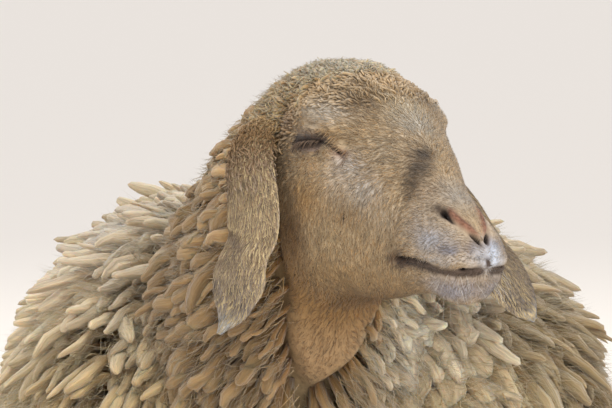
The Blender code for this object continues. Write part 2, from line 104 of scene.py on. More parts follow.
# The trunk, rump first, in the columns of the head's table up to the squareness.
TRUNK = (
    (-0.452, 0.215, -0.452, 0.205, 0.01, 0.5, 2.0, 2.0),
    (-0.44, 0.315, -0.44, 0.09, 0.11, 0.46, 2.0, 2.0),
    (-0.392, 0.388, -0.392, 0.012, 0.188, 0.42, 2.1, 2.2),
    (-0.3, 0.428, -0.3, -0.008, 0.238, 0.4, 2.3, 2.3),
    (-0.19, 0.44, -0.19, -0.01, 0.262, 0.4, 2.4, 2.4),
    (-0.06, 0.446, -0.06, -0.01, 0.268, 0.41, 2.4, 2.4),
    (0.06, 0.454, 0.06, -0.01, 0.265, 0.43, 2.5, 2.4),
    (0.16, 0.455, 0.16, -0.01, 0.258, 0.45, 2.6, 2.3),
    (0.245, 0.43, 0.245, -0.01, 0.238, 0.47, 2.5, 2.2),
    (0.308, 0.382, 0.308, -0.006, 0.2, 0.48, 2.3, 2.1),
    (0.35, 0.3, 0.35, 0.04, 0.132, 0.48, 2.1, 2.0),
    (0.368, 0.2, 0.368, 0.19, 0.01, 0.5, 2.0, 2.0),
)
TRUNK_RINGS = 96
FLEECE_DEPTH = 0.045
TAIL_DEPTH = 0.030
HAUNCH_DEPTH = 0.040
LIMB_HAIR = 0.0022
HAIR_DEPTH = 0.0025  # the most on the face
BARE_DEPTH = 0.0045  # the most over the throat
FLOOR_GAP = 0.0006
DRIFT_WAVES = 9

# Soft swellings and hollows of the head: centre (forward, outward, up), reach along the
# same three, and push (forward, outward, up).  Each works on both sides.
HEAD_MODELLING = {
    "brow": ((-0.006, 0.054, 0.018), (0.026, 0.022, 0.011), (0.0, 0.0085, 0.003)),
    "brow_front": ((0.012, 0.05, 0.009), (0.012, 0.02, 0.008), (0.002, 0.004, 0.0)),
    "socket": ((0.014, 0.05, -0.006), (0.013, 0.02, 0.007), (0.0, -0.003, 0.0)),
    "orbit": ((-0.004, 0.058, -0.008), (0.022, 0.02, 0.011), (0.002, 0.004, 0.0)),
    "temple": ((-0.05, 0.06, 0.012), (0.02, 0.025, 0.022), (0.0, -0.006, 0.0)),
    "tear_hollow": ((0.03, 0.048, -0.014), (0.018, 0.02, 0.016), (0.0, -0.005, 0.0)),
    "cheek": ((-0.024, 0.05, -0.072), (0.036, 0.03, 0.034), (0.0, 0.004, 0.0)),
    "cheek_hollow": ((0.052, 0.038, -0.066), (0.024, 0.02, 0.022), (0.0, -0.004, 0.0)),
    "jaw_line": ((-0.01, 0.045, -0.1), (0.04, 0.03, 0.014), (0.0, 0.0035, 0.0)),
    "cheek_bone": ((0.024, 0.048, -0.032), (0.022, 0.02, 0.012), (0.0, 0.0025, 0.0)),
    "nasal_side": ((0.08, 0.03, -0.042), (0.026, 0.014, 0.016), (0.0, -0.003, 0.0)),
    "lip_pad": ((0.112, 0.028, -0.08), (0.018, 0.016, 0.014), (0.0, 0.003, 0.0)),
    "chin": ((0.112, 0.012, -0.118), (0.016, 0.014, 0.01), (0.002, 0.001, -0.002)),
}


def circle(columns):
    """Angles of evenly spaced columns."""
    return np.arange(columns) * 2 * math.pi / columns


def smooth_rows(rows, samples):
    """Rows of numbers read at fractional row numbers, on cubics through every row whose slope
    there is half the step between its neighbours."""
    rows = np.asarray(rows, float)
    slopes = np.gradient(rows, axis=0)
    low = np.clip(np.floor(samples).astype(int), 0, len(rows) - 2)
    t = (samples - low)[:, None]
    return (
        (2 * t**3 - 3 * t**2 + 1) * rows[low]
        + (t**3 - 2 * t**2 + t) * slopes[low]
        + (3 * t**2 - 2 * t**3) * rows[low + 1]
        + (t**3 - t**2) * slopes[low + 1]
    )


def even_rows(rows, count):
    """Rows of numbers read this many times, evenly from the first row to the last."""
    return smooth_rows(rows, np.linspace(0, len(rows) - 1, count))


def section_grid(rows, angle):
    """Closed sections as (rings, columns, 3) in (forward, left, up), at the given angles from
    the dorsal point.  A section is two half superellipses, above and below its widest line,
    in the plane through its two end points."""
    dorsal, ventral = rows[:, 0:2], rows[:, 2:4]
    width, level = rows[:, 4:5], rows[:, 5:6]
    sine, cosine = np.sin(angle), np.cos(angle)
    above = cosine >= 0
    power = 2 / np.where(above, rows[:, 6:7], rows[:, 7:8])
    reach = np.where(above, 1 - level, level) * np.sign(cosine) * np.abs(cosine) ** power
    side = width * np.sign(sine) * np.abs(sine) ** power
    height = level + reach
    middle = ventral[:, None, :] + height[..., None] * (dorsal - ventral)[:, None, :]
    return np.stack([middle[..., 0], side, middle[..., 1]], axis=-1)


def shrunk(rows, depth):
    """Rows of sections drawn in all round by the coat's depth at each row."""
    rows = rows.copy()
    across = rows[:, 2:4] - rows[:, 0:2]
    size = np.linalg.norm(across, axis=1)
    step = across / size[:, None] * np.minimum(depth, size * 0.4)[:, None]
    rows[:, 0:2] += step
    rows[:, 2:4] -= step
    rows[:, 4] -= np.minimum(depth, rows[:, 4] * 0.5)
    return rows


def angle_at(rows, up):
    """The angle from the dorsal point at which each section is at this height."""
    share = (up - rows[:, 3]) / (rows[:, 1] - rows[:, 3])
    reach = np.clip(share, 0.02, 0.98) - rows[:, 5]
    above = reach >= 0
    room = np.where(above, 1 - rows[:, 5], rows[:, 5])
    power = np.where(above, rows[:, 6], rows[:, 7]) / 2
    return np.arccos(np.sign(reach) * (np.abs(reach) / room) ** power)


def crowded_angles(rows, columns):
    """Angles whose columns crowd about CROWDED_LINE, which always falls midway between the
    same two columns.  Returns them with the upper one of those two."""
    forward = (rows[:, 0] + rows[:, 2]) / 2
    line = np.array(CROWDED_LINE)
    centre = angle_at(rows, np.interp(forward, line[:, 0], line[:, 1]))
    half = columns // 2
    upper = int(half * 0.44)
    gain, reach = CROWDING
    fine = np.linspace(0, math.pi, 721)
    angles = np.empty((len(rows), half + 1))
    for ring, middle in enumerate(centre):
        density = 1 + gain * np.exp(-(((fine - middle) / reach) ** 2))
        count = np.concatenate([[0], np.cumsum((density[1:] + density[:-1]) / 2)])
        at_middle = np.interp(middle, fine, count)
        below = count <= at_middle
        place = np.where(
            below,
            count / at_middle * (upper + 0.5),
            upper + 0.5 + (count - at_middle) / (count[-1] - at_middle) * (half - upper - 0.5),
        )
        angles[ring] = np.interp(np.arange(half + 1), place, fine)
    return np.concatenate([angles, 2 * math.pi - angles[:, -2:0:-1]], axis=1), upper


def model_head(grid):
    """Adds the soft swellings: each moves the grid by its push, times a bell of distance."""
    for centre, reach, push in HEAD_MODELLING.values():
        for side in SIDES.values():
            middle = np.array(centre) * (1, side, 1)
            way = np.array(push) * (1, side, 1)
            bell = np.exp(-(((grid - middle) / reach) ** 2).sum(axis=-1))
            grid = grid + bell[..., None] * way
    return grid


def turn_neck(grid, share):
    """(forward, left, up) from the eye line to the room: each ring turns about an upright
    line behind the eyes by its share of the head's turn."""
    yaw = HEAD_YAW * share[:, None]
    ahead, left = grid[..., 0] - NECK_TURN, grid[..., 1]
    x = np.sin(yaw) * ahead + np.cos(yaw) * left + math.sin(HEAD_YAW) * NECK_TURN
    y = np.sin(yaw) * left - np.cos(yaw) * ahead - math.cos(HEAD_YAW) * NECK_TURN
    return np.stack([x, y, grid[..., 2]], axis=-1) + EYE_LINE


def in_head(points):
    """Points of the room as (forward, left, up) from the eye line."""
    away = points - EYE_LINE
    return np.stack([away @ HEAD_FORWARD, away @ HEAD_LEFT, away[..., 2]], axis=-1)


def from_head(ways):
    """Directions (forward, left, up) of the head turned into the room's."""
    return (ways[..., :1] * HEAD_FORWARD + ways[..., 1:2] * HEAD_LEFT
            + ways[..., 2:] * np.array((0, 0, 1.0)))


def unit(vectors):
    """Vectors of length 1 the same way."""
    return vectors / np.maximum(np.linalg.norm(vectors, axis=-1, keepdims=True), 1e-12)


def all_over(values, grid):
    """The same three numbers at every point of a grid."""
    return np.ones_like(grid) * np.array(values)


def grid_normals(grid):
    """Outward unit normals of a grid whose columns close round on themselves."""
    along = np.gradient(grid, axis=0)
    around = np.roll(grid, -1, axis=1) - np.roll(grid, 1, axis=1)
    normal = unit(np.cross(along, around))
    away = grid - grid.mean(axis=1, keepdims=True)
    return normal * np.sign((normal * away).sum(axis=-1).mean())


def bell(distance, width):
    """1 at no distance, falling to 0 over about twice the width."""
    return np.exp(-((distance / width) ** 2))


def ramp(value, low, high):
    """0 at low, 1 at high, and a smooth step between them."""
    t = np.clip((value - low) / (high - low), 0, 1)
    return t * t * (3 - 2 * t)


def drift(points, size, seed):
    """A smooth random value about 0 at each point: the mean of sines along random directions,
    whose wavelengths are about this size."""
    rng = np.random.default_rng(seed)
    ways = unit(rng.normal(size=(DRIFT_WAVES, 3)))
    ways = ways * rng.uniform(0.6, 1.5, (DRIFT_WAVES, 1)) * 2 * math.pi / size
    phases = rng.uniform(0, 2 * math.pi, DRIFT_WAVES)
    return np.sin(points @ ways.T + phases).mean(axis=-1) * 1.8


def drifted(place, points, size, seeds, amount):
    """Places moved a little each way, so that the washes' edges wander."""
    return place + np.stack([drift(points, size, seed) for seed in seeds], axis=-1) * amount


def line_distance(points, line, sideways):
    """Distance of each point from a bent line through a few stops, where distance outward
    counts this much."""
    scale = np.array((1, sideways, 1), float)
    points, line = points * scale, np.array(line, float) * scale
    lengths = np.linalg.norm(np.diff(line, axis=0), axis=1)
    best = np.full(points.shape[:-1], 9.0)
    for a, b, length in zip(line[:-1], line[1:], lengths):
        t = np.clip((points - a) @ (b - a) / length**2, 0, 1)
        best = np.minimum(best, np.linalg.norm(points - a - t[..., None] * (b - a), axis=-1))
    return best


# ---- the skin of the head ---------------------------------------------------------------

LID_THICKNESS = 0.0021
LEAST_LID = 0.0008
MIDDLE_WALL = 0.0009  # half the wall between the nostrils
SLIT_ENDS = (-0.0315, 0.0060)  # forward places of the outer and inner corners of the eye
SLIT_HALF_OPENING = 0.0013
# Columns counted from the slit's middle, and there: the share of the half opening, how far
# the lid runs on beyond it, and how deep the column sinks.
LID_COLUMNS = (0.5, 1.5, 2.5, 3.5, 4.5, 5.5)
LID_ROWS = ((0.45, 1.0, 1.0, 1.0, 1.0, 1.0), (0, 0.0001, 0.0007, 0.0016, 0.0027, 0.0040),
            (0.0046, 0.0024, 0.0, -0.0003, -0.00015, 0.0))
# Row numbers, and the angle from the dorsal line that the wool reaches there.
WOOL_EDGE = ((2.2, 2.7, 3.0, 3.5, 4.0, 4.5, 5.0, 5.6, 6.0, 6.3, 6.6, 7.0, 7.5, 8.0, 8.3, 8.7),
             (192, 179, 170, 160, 151, 143, 132, 106, 88, 66, 50, 44, 36, 22, -8, -40))
# Lines drawn into the skin: stops (forward, outward, up), how much their outward distance
# counts, half width, and depth; a negative depth is a ridge.
SKIN_LINES = {
    "nostril": (((0.104, 0.0165, -0.0505), (0.112, 0.0145, -0.0575), (0.1215, 0.0095, -0.0645),
        (0.131, 0.0035, -0.0705)), 1.0, 0.0019, 0.0075),
    "nostril_corner": (((0.1035, 0.017, -0.05), (0.1045, 0.0165, -0.051)), 1.0, 0.0028, 0.005),
    "nostril_rim": (((0.106, 0.015, -0.0465), (0.118, 0.011, -0.056), (0.132, 0.0035, -0.0655)),
        1.0, 0.003, -0.0016),
    "philtrum": (((0.132, 0.0, -0.069), (0.137, 0.0, -0.078), (0.138, 0.0, -0.086)), 1.0, 0.0011, 0.0026),
    "mouth": (((0.066, 0.031, -0.0865), (0.09, 0.029, -0.0868), (0.1135, 0.0265, -0.089),
        (0.133, 0.018, -0.091), (0.139, 0.0, -0.0918)), 0.7, 0.0013, 0.0045),
    "mouth_corner": (((0.063, 0.032, -0.0875), (0.072, 0.031, -0.0878)), 0.7, 0.003, 0.0028),
    "upper_lip": (((0.076, 0.03, -0.0828), (0.09, 0.029, -0.0828), (0.1135, 0.026, -0.085),
        (0.133, 0.017, -0.0867), (0.138, 0.004, -0.0874)), 0.7, 0.003, -0.0018),
    "lower_lip": (((0.076, 0.03, -0.0917), (0.1, 0.028, -0.093), (0.12, 0.024, -0.095),
        (0.133, 0.012, -0.0962)), 0.7, 0.0034, 0.0018),
    "corner_fold": (((0.056, 0.034, -0.08), (0.064, 0.033, -0.0765)), 0.5, 0.0012, 0.0012),
    "lid_fold": (((-0.035, 0.056, 0.001), (-0.022, 0.06, 0.005), (-0.008, 0.059, 0.006),
        (0.006, 0.054, 0.003)), 0.3, 0.0013, 0.0017),
    "brow_fold": (((-0.04, 0.056, 0.003), (-0.026, 0.06, 0.0105), (-0.01, 0.06, 0.0112),
        (0.009, 0.054, 0.008)), 0.3, 0.0016, 0.001),
    "under_fold": (((-0.033, 0.056, -0.0095), (-0.017, 0.059, -0.0125), (-0.004, 0.057, -0.0115),
        (0.006, 0.052, -0.01)), 0.3, 0.0013, 0.0012),
    "cheek_fold": (((-0.03, 0.056, -0.015), (-0.012, 0.059, -0.018), (0.004, 0.054, -0.016)),
        0.3, 0.002, 0.0008),
    "tear_line": (((0.0065, 0.056, -0.0026), (0.0115, 0.053, -0.0062), (0.0165, 0.05, -0.0096)),
        0.3, 0.0012, 0.002),
    "tear_hollow": (((0.0155, 0.05, -0.01), (0.019, 0.049, -0.0112)), 0.3, 0.003, 0.002),
}


def slit_up(forward):
    """Height of the slit between the lids: level at the back, a low swell before the inner
    corner, then a fall towards the nose."""
    past = forward - 0.010
    return -0.0050 + 0.0034 * bell(forward - 0.001, 0.018) - 0.175 * (past + np.sqrt(past**2 + 0.006**2))


def ring_samples():
    """Row numbers of the skin's rings, whose greatest steps are those of RING_STEPS."""
    rows = np.linspace(0, len(HEAD_AND_NECK) - 1, RING_TRIALS)
    sections = section_grid(smooth_rows(HEAD_AND_NECK, rows), circle(16))
    step = np.linalg.norm(np.diff(sections, axis=0), axis=2).max(axis=1)
    stops = np.array(RING_STEPS)
    wanted = np.interp((rows[1:] + rows[:-1]) / 2, stops[:, 0], stops[:, 1])
    count = np.concatenate([[0], np.cumsum(step / wanted)])
    return np.interp(np.linspace(0, count[-1], int(count[-1]) + 1), count, rows)


def mirrored(half):
    """A whole section from its left half: the same columns again on the other side."""
    return np.concatenate([half, half[:, -2:0:-1] * (1, -1, 1)], axis=1)


def whole(half):
    """Values of the left half repeated on the right one."""
    return np.concatenate([half, half[:, -2:0:-1]], axis=1)


def head_skin():
    """Left half of the head and neck in (forward, outward, up) from the eye line: the outer
    coat, the skin, the rows' numbers, the angle from the dorsal line, and how deep each
    place is drawn in.

    The skin lies under the coat by its depth.  Round the eye it rests on the ball of the eye
    plus the lid's thickness; along the slit its two middle columns sink into the ball; and
    the lines of SKIN_LINES sink or rise as bells of distance from them."""
    samples = ring_samples()
    rows = smooth_rows(HEAD_AND_NECK, samples)
    angles, upper = crowded_angles(rows, HEAD_COLUMNS)
    half = HEAD_COLUMNS // 2 + 1
    angle = angles[:, :half]
    depth = rows[:, DEPTH]
    outer, under, shallow = (model_head(section_grid(shrunk(rows, drawn), angle))
                             for drawn in (depth * 0, depth, np.minimum(depth, BARE_DEPTH)))
    outer[:, [0, -1], 1] = 0
    bare = (1 - wool_share(samples[:, None], angle, ragged=0.0)) * ramp(samples[:, None], 2.2, 3.8)
    skin = under + (shallow - under) * bare[..., None]

    centre = np.array(EYE_PLACE)
    away = skin - centre
    distance = np.linalg.norm(away, axis=-1, keepdims=True)
    lid, soft = EYE_RADIUS + LID_THICKNESS, 0.0009
    lifted = lid + soft * np.logaddexp(0, (distance - lid) / soft)
    skin = centre + away * np.where(away[..., 1:2] > 0, lifted / distance, 1)

    middle = (skin[:, upper] + skin[:, upper + 1]) / 2
    forward = middle[:, 0]
    near = ramp(forward, -0.060, -0.042) * (1 - ramp(forward, 0.014, 0.030))
    step = np.arange(half) - upper - 0.5
    shift = (slit_up(forward) - middle[:, 2]) * near
    skin[..., 2] += shift[:, None] * bell(step, 16)[None]
    share = (forward - SLIT_ENDS[0]) / (SLIT_ENDS[1] - SLIT_ENDS[0])
    open_share = np.sin(math.pi * np.clip(share, 0, 1))
    opening = SLIT_HALF_OPENING * open_share**0.8
    inside = ramp(share, -0.10, 0.04) * (1 - ramp(share, 0.96, 1.10))
    order = np.abs(step)
    margin, beyond, sink = (np.interp(order, LID_COLUMNS, values) for values in LID_ROWS)
    wanted = -np.sign(step) * (margin * opening[:, None] + beyond)
    held = inside[:, None] * (1 - ramp(order, 5.5, 10))
    current = skin[..., 2] - slit_up(forward)[:, None]
    skin[..., 2] += (wanted - current) * held
    away = skin - centre
    distance = np.linalg.norm(away, axis=-1, keepdims=True)
    skin -= away / distance * (sink * (open_share**0.45 * inside)[:, None])[..., None]

    normal = grid_normals(mirrored(skin))[:, :half]
    push = np.zeros(skin.shape[:2])
    for line, sideways, width, deep in SKIN_LINES.values():
        push -= deep * bell(line_distance(skin, line, sideways), width)
    fine = drift(skin, 0.004, 11) * 0.00012 + drift(skin, 0.011, 12) * 0.0003
    skin = skin + normal * (push + fine * ramp(samples, 5, 6.5)[:, None])[..., None]
    away = skin - centre
    distance = np.linalg.norm(away, axis=-1)
    slit = inside[:, None] * (order < 3)[None]
    least = np.where((away[..., 1] > 0) & (slit < 0.5), EYE_RADIUS + LEAST_LID, 0)
    skin = centre + away * (np.maximum(distance, least) / distance)[..., None]
    skin[..., 1] = np.maximum(skin[..., 1], MIDDLE_WALL * np.sin(angle) ** 0.5)
    skin[:, [0, -1], 1] = 0
    return outer, skin, samples, angle, -push


def wool_share(row, angle, left=0.0, ragged=1.0):
    """1 where the head and neck carry wool and 0 where they carry short hair: wool runs round
    the neck but for the throat, whose edge lies nearer the middle on the left, and over the
    poll down to the forehead."""
    edge = np.interp(row, *WOOL_EDGE) + left * 12 * (1 - ramp(row, 4.4, 5.4))
    edge = edge + ragged * (4 * np.sin(row * 9.1 + angle * 7) + 3 * np.sin(row * 23.3 - angle * 17))
    soft = 12 - 8 * ragged
    return ramp(edge - np.degrees(angle), -soft, soft)


# ---- forms: a coat's inner and outer grids, its lie and its colour --------------------------


class Form:
    """A closed grid of skin with the coat's outer end over it.

    inner and outer are (rings, columns, 3) in the room; lie is the way that the coat's tips
    point; tint is the colour; island is the form's rectangle in the skin's flat map."""

    def __init__(self, inner, outer, wish, tint, island):
        self.inner, self.outer, self.tint, self.island = inner, outer, tint, island
        self.rings, self.columns = inner.shape[:2]
        self.normal = grid_normals(outer)
        self.along = np.gradient(outer, axis=0)
        self.around = (np.roll(outer, -1, axis=1) - np.roll(outer, 1, axis=1)) / 2
        flat = wish - self.normal * (wish * self.normal).sum(axis=-1, keepdims=True)
        self.lie = unit(flat)

    def read(self, grid, ring, column):
        """A grid's values at fractional rings and columns: linear between its points."""
        ring = np.clip(ring, 0, self.rings - 1.001)
        column = np.mod(column, self.columns)
        low, left = np.floor(ring).astype(int), np.floor(column).astype(int) % self.columns
        right = (left + 1) % self.columns
        down, across = ring - low, column - np.floor(column)
        if grid.ndim == 3:
            down, across = down[..., None], across[..., None]
        top = grid[low, left] * (1 - across) + grid[low, right] * across
        bottom = grid[low + 1, left] * (1 - across) + grid[low + 1, right] * across
        return top * (1 - down) + bottom * down

    def roots(self, spacing, keep):
        """Places (ring, column) of the coat's roots: the two golden sequences carried to equal
        shares of the outer area, times keep, one root to each square of the spacing."""
        area = np.linalg.norm(np.cross(self.along, self.around), axis=-1)
        number = area * keep / (spacing * spacing)
        count = int(number.sum())
        order = np.arange(1, count + 1)
        first, second = (0.5 + order * 0.7548776662) % 1, (0.5 + order * 0.5698402910) % 1
        by_ring = np.concatenate([[0], np.cumsum(number.sum(axis=1))])
        ring = np.interp(first * by_ring[-1], by_ring, np.arange(self.rings + 1) - 0.5)
        ring = np.clip(ring, 0, self.rings - 1)
        row = np.round(ring).astype(int)
        inner_share = np.cumsum(number, axis=1) / np.maximum(number.sum(axis=1, keepdims=True), 1e-12)
        ladder = (inner_share + np.arange(self.rings)[:, None]).ravel()
        place = np.interp(row + second, ladder, np.arange(ladder.size))
        return ring, np.mod(place + 0.5, self.columns)

    def depth(self, place):
        """The coat's depth at each root."""
        return np.linalg.norm(self.read(self.outer, *place) - self.read(self.inner, *place), axis=1)

    def flat_place(self, ring, column):
        """The place of a root on the skin's flat map."""
        left, low, right, high = self.island
        across = left + (right - left) * np.mod(column, self.columns) / self.columns
        return across, low + (high - low) * ring / (self.rings - 1)

    def walk(self, ring, column, length, shares, turn):
        """Places along the lie from each root, at the given shares of its length: each step
        is the lie, turned a little, in units of the grid."""
        rings, columns = [ring], [column]
        for share in np.diff(shares):
            here = (rings[-1], columns[-1])
            lie, normal = self.read(self.lie, *here), self.read(self.normal, *here)
            way = lie * np.cos(turn)[:, None] + np.cross(normal, lie) * np.sin(turn)[:, None]
            way = way * (length * share)[:, None]
            a, b = self.read(self.along, *here), self.read(self.around, *here)
            aa, bb, ab = (a * a).sum(-1), (b * b).sum(-1), (a * b).sum(-1)
            wa, wb = (way * a).sum(-1), (way * b).sum(-1)
            whole_area = np.maximum(aa * bb - ab * ab, 1e-16)
            step_ring = (wa * bb - wb * ab) / whole_area
            step_column = (wb * aa - wa * ab) / whole_area
            limit = self.columns / 14
            rings.append(np.clip(here[0] + np.clip(step_ring, -6, 6), 0, self.rings - 1))
            columns.append(here[1] + np.clip(step_column, -limit, limit))
        return np.stack(rings, axis=1), np.stack(columns, axis=1)

    def tree(self):
        """A search tree over the skin, with outward faces."""
        corner = grid_corners(self.rings, self.columns)[0]
        points = self.inner.reshape(-1, 3)
        middle = self.rings // 2
        quad = points[corner[middle * self.columns]]
        facing = np.cross(quad[1] - quad[0], quad[2] - quad[1])
        faces = corner if facing @ (quad[0] - self.inner[middle].mean(axis=0)) > 0 else corner[:, ::-1]
        return BVHTree.FromPolygons(points.tolist(), faces.tolist())


# ---- the other forms --------------------------------------------------------------------

# Their rectangles in the skin's flat map; limbs and ears have theirs beside these.
HEAD_MAP = (0.01, 0.01, 0.55, 0.99)
TRUNK_MAP = (0.56, 0.50, 0.99, 0.99)
TAIL_MAP = (0.56, 0.42, 0.70, 0.49)
WHOLE_MAP = (0.01, 0.01, 0.99, 0.99)
# Limbs and tail: stops of a tapering round form, each (outward, forward, up, radius).
LIMBS = {
    "fore_upper": ((0.15, 0.15, 0.14, 0.062), (0.152, 0.205, 0.104, 0.054), (0.142, 0.27, 0.078, 0.041),
        (0.132, 0.325, 0.056, 0.033), (0.128, 0.356, 0.042, 0.031)),
    "fore_lower": ((0.127, 0.354, 0.032, 0.029), (0.126, 0.312, 0.022, 0.0215),
        (0.128, 0.255, 0.0185, 0.018), (0.131, 0.212, 0.0205, 0.0215), (0.134, 0.184, 0.0225, 0.02)),
    "hind_upper": ((0.212, -0.105, 0.105, 0.06), (0.222, -0.2, 0.08, 0.055), (0.22, -0.29, 0.06, 0.043),
        (0.212, -0.352, 0.044, 0.031)),
    "hind_lower": ((0.212, -0.366, 0.03, 0.027), (0.224, -0.318, 0.0225, 0.0225),
        (0.24, -0.26, 0.019, 0.019), (0.252, -0.21, 0.021, 0.022), (0.258, -0.18, 0.0225, 0.02)),
}
TAIL = ((0.0, -0.385, 0.28, 0.05), (0.0, -0.445, 0.22, 0.055), (-0.006, -0.47, 0.14, 0.054),
        (-0.022, -0.486, 0.066, 0.048), (-0.052, -0.506, 0.034, 0.038), (-0.084, -0.518, 0.024, 0.025))
CAP_SHARES = (0.97, 0.82, 0.55, 0.2)  # rings of a limb's round end, as shares of its reach
# Centre and radii, (outward, forward, up).
HAUNCH = ((0.176, -0.225, 0.16), (0.116, 0.168, 0.168))
# Where a foot's claws start, and which way they point.
FEET = {
    "fore": ((0.135, 0.176, 0.0225), (0.1, -1.0, 0.0)),
    "hind": ((0.2595, -0.172, 0.0225), (0.2, 1.0, 0.0)),
}
CLAW_SPREAD = 0.0108
CLAW_SIZE = (0.052, 0.0195, 0.034)
CLAW_SQUARENESS = 0.82
CLAW_GAP = 0.0004
CLAW_TINT = (0.10, 0.072, 0.052)
# Each ring: share of the length, of the width and of the height, and its drop.
CLAW_RINGS = ((0.0, 0.8, 0.8, 0.0), (0.28, 1.0, 1.0, -0.001), (0.62, 0.92, 0.8, -0.004),
              (0.86, 0.66, 0.52, -0.007), (1.0, 0.3, 0.24, -0.01))

# The hanging ears, root first: (forward, outward, up) from the eye line, and half width.
EAR_LINE = {
    "left": ((-0.078, 0.044, 0.012, 0.012), (-0.074, 0.062, -0.001, 0.019),
        (-0.063, 0.086, -0.033, 0.028), (-0.048, 0.108, -0.064, 0.033), (-0.034, 0.127, -0.094, 0.032),
        (-0.022, 0.144, -0.123, 0.031), (-0.014, 0.156, -0.143, 0.02), (-0.01, 0.163, -0.155, 0.0035)),
    "right": ((-0.078, 0.0459, 0.0129, 0.0092), (-0.077, 0.0578, 0.0037, 0.0153),
        (-0.072, 0.0689, -0.0082, 0.0199), (-0.066, 0.0754, -0.0216, 0.0234),
        (-0.06, 0.0777, -0.0381, 0.026), (-0.057, 0.0784, -0.0564, 0.0275),
        (-0.056, 0.0795, -0.0717, 0.0275), (-0.057, 0.0808, -0.081, 0.0257),
        (-0.059, 0.0841, -0.0896, 0.0251), (-0.061, 0.0869, -0.1013, 0.0271),
        (-0.062, 0.089, -0.1137, 0.0279), (-0.063, 0.0911, -0.1245, 0.0239),
        (-0.063, 0.0939, -0.1345, 0.0178), (-0.064, 0.0975, -0.1438, 0.0105),
        (-0.064, 0.1059, -0.1523, 0.0022)),
}
EAR_ACROSS = {"left": (0.50, -0.60, -0.60), "right": (1.00, -0.25, 0.00)}
EAR_THICKNESS = 0.0036
EAR_CAMBER = 0.20
EAR_HAIR = 0.0009
EAR_RINGS, EAR_COLUMNS = 84, 64


def trunk_grids():
    """The trunk's outer coat and skin, rolled about its length."""
    rows = even_rows(TRUNK, TRUNK_RINGS)
    left, height = TRUNK_AXIS
    made = []
    for depth in (0, FLEECE_DEPTH):
        grid = section_grid(shrunk(rows, np.full(TRUNK_RINGS, depth)), circle(120))
        ends = grid[[0, -1], :, 0].mean(axis=1)
        grid[..., 0] *= 1 - 2 * depth / (ends[1] - ends[0])
        grid[..., 2] -= 0.6 * depth * (1 - ramp(grid[..., 2], 0.0, 0.16))
        points = np.stack([grid[..., 1], -grid[..., 0], grid[..., 2] - height], axis=-1)
        points = points @ np.array(Matrix.Rotation(TRUNK_ROLL, 3, "Y")).T
        made.append(points + (left, 0, height) + ROOM_ORIGIN)
    outer, inner = made
    return uneven(outer, 0.16, 3, 0.005), inner


def uneven(outer, size, seed, amount):
    """A coat's outer grid that rises and falls a little."""
    return outer + grid_normals(outer) * (drift(outer, size, seed) * amount)[..., None]


def limb_grid(stops, side, shrink, rings, columns):
    """A round-ended form along a smooth line through its stops, shrunk by the coat's depth."""
    line = even_rows([(side * out, -forward, up, radius) for out, forward, up, radius in stops], rings)
    centre, radius = line[:, :3] + ROOM_ORIGIN, line[:, 3:]
    radius = np.maximum(radius - shrink, radius * 0.45)
    way = unit(np.gradient(centre, axis=0))
    across = unit(np.cross(way, (0, 0, 1)))
    over = np.cross(across, way)
    angle = circle(columns)
    ring = across[:, None] * np.cos(angle)[:, None] + over[:, None] * np.sin(angle)[:, None]
    caps = []
    for end, outward in ((0, -1), (-1, 1)):
        caps.append([centre[end] + outward * 0.5 * share * radius[end] * way[end]
                     + ring[end] * radius[end] * math.sqrt(1 - share**2) for share in CAP_SHARES])
    return np.concatenate([np.array(caps[0]), centre[:, None] + ring * radius[:, None],
                           np.array(caps[1][::-1])])


def ball_grid(centre, radii):
    """An ellipsoid: rings from pole to pole along the upright."""
    across = np.linspace(0.03, math.pi - 0.03, 40)[:, None]
    around = circle(56)[None]
    shape = np.stack(np.broadcast_arrays(
        np.sin(across) * np.cos(around), np.sin(across) * np.sin(around), np.cos(across)
    ), axis=-1)
    return shape * radii + centre


def ear_grids(word):
    """An ear's outer coat and skin: leaf-shaped sections along its line, each a thin lens
    bowed outwards, with a fold that pinches it and a raised rim."""
    line = even_rows(EAR_LINE[word], EAR_RINGS)
    centre, half = line[:, :3], line[:, 3:]
    way = unit(np.gradient(centre, axis=0))
    lean = np.array(EAR_ACROSS[word])
    across = unit(lean - way * (way @ lean)[:, None])
    out = np.cross(across, way)
    out *= np.sign(out[:, 1:2])
    angle = circle(EAR_COLUMNS)[None]
    spread = np.cos(angle)
    share = np.linspace(0, 1, EAR_RINGS)[:, None]
    fold = 0.0034 * bell(share - 0.58, 0.08) * np.sin(spread * 2.6 + 0.4)
    crease = -0.0035 * ramp(share, 0.70, 0.82) * (1 - ramp(share, 0.86, 0.97)) * bell(spread - 0.05, 0.30)
    root_cup = 0.0050 * ramp(share, 0.0, 0.12) * (1 - ramp(share, 0.12, 0.36)) * (1 - spread**2)
    rim = 0.0006 * bell(np.abs(spread) - 0.93, 0.07)
    bowed = ramp(share, 0.0, 0.06) * (1 - ramp(share, 0.95, 1.0))
    camber = half * EAR_CAMBER * (1 - spread**2) + fold + crease + root_cup
    made = []
    for grow in (0.0, -EAR_HAIR):
        thick = (EAR_THICKNESS / 2 + grow + rim) * np.minimum(1, half / 0.012)
        lift = bowed * camber + thick * np.sin(angle)
        grid = centre[:, None] + across[:, None] * ((half + grow) * spread)[..., None]
        grid = grid + out[:, None] * lift[..., None]
        grid[..., 1] *= SIDES[word]
        made.append(turn_neck(grid, np.ones(EAR_RINGS)))
    return made


# ---- colours -------------------------------------------------------------------------------

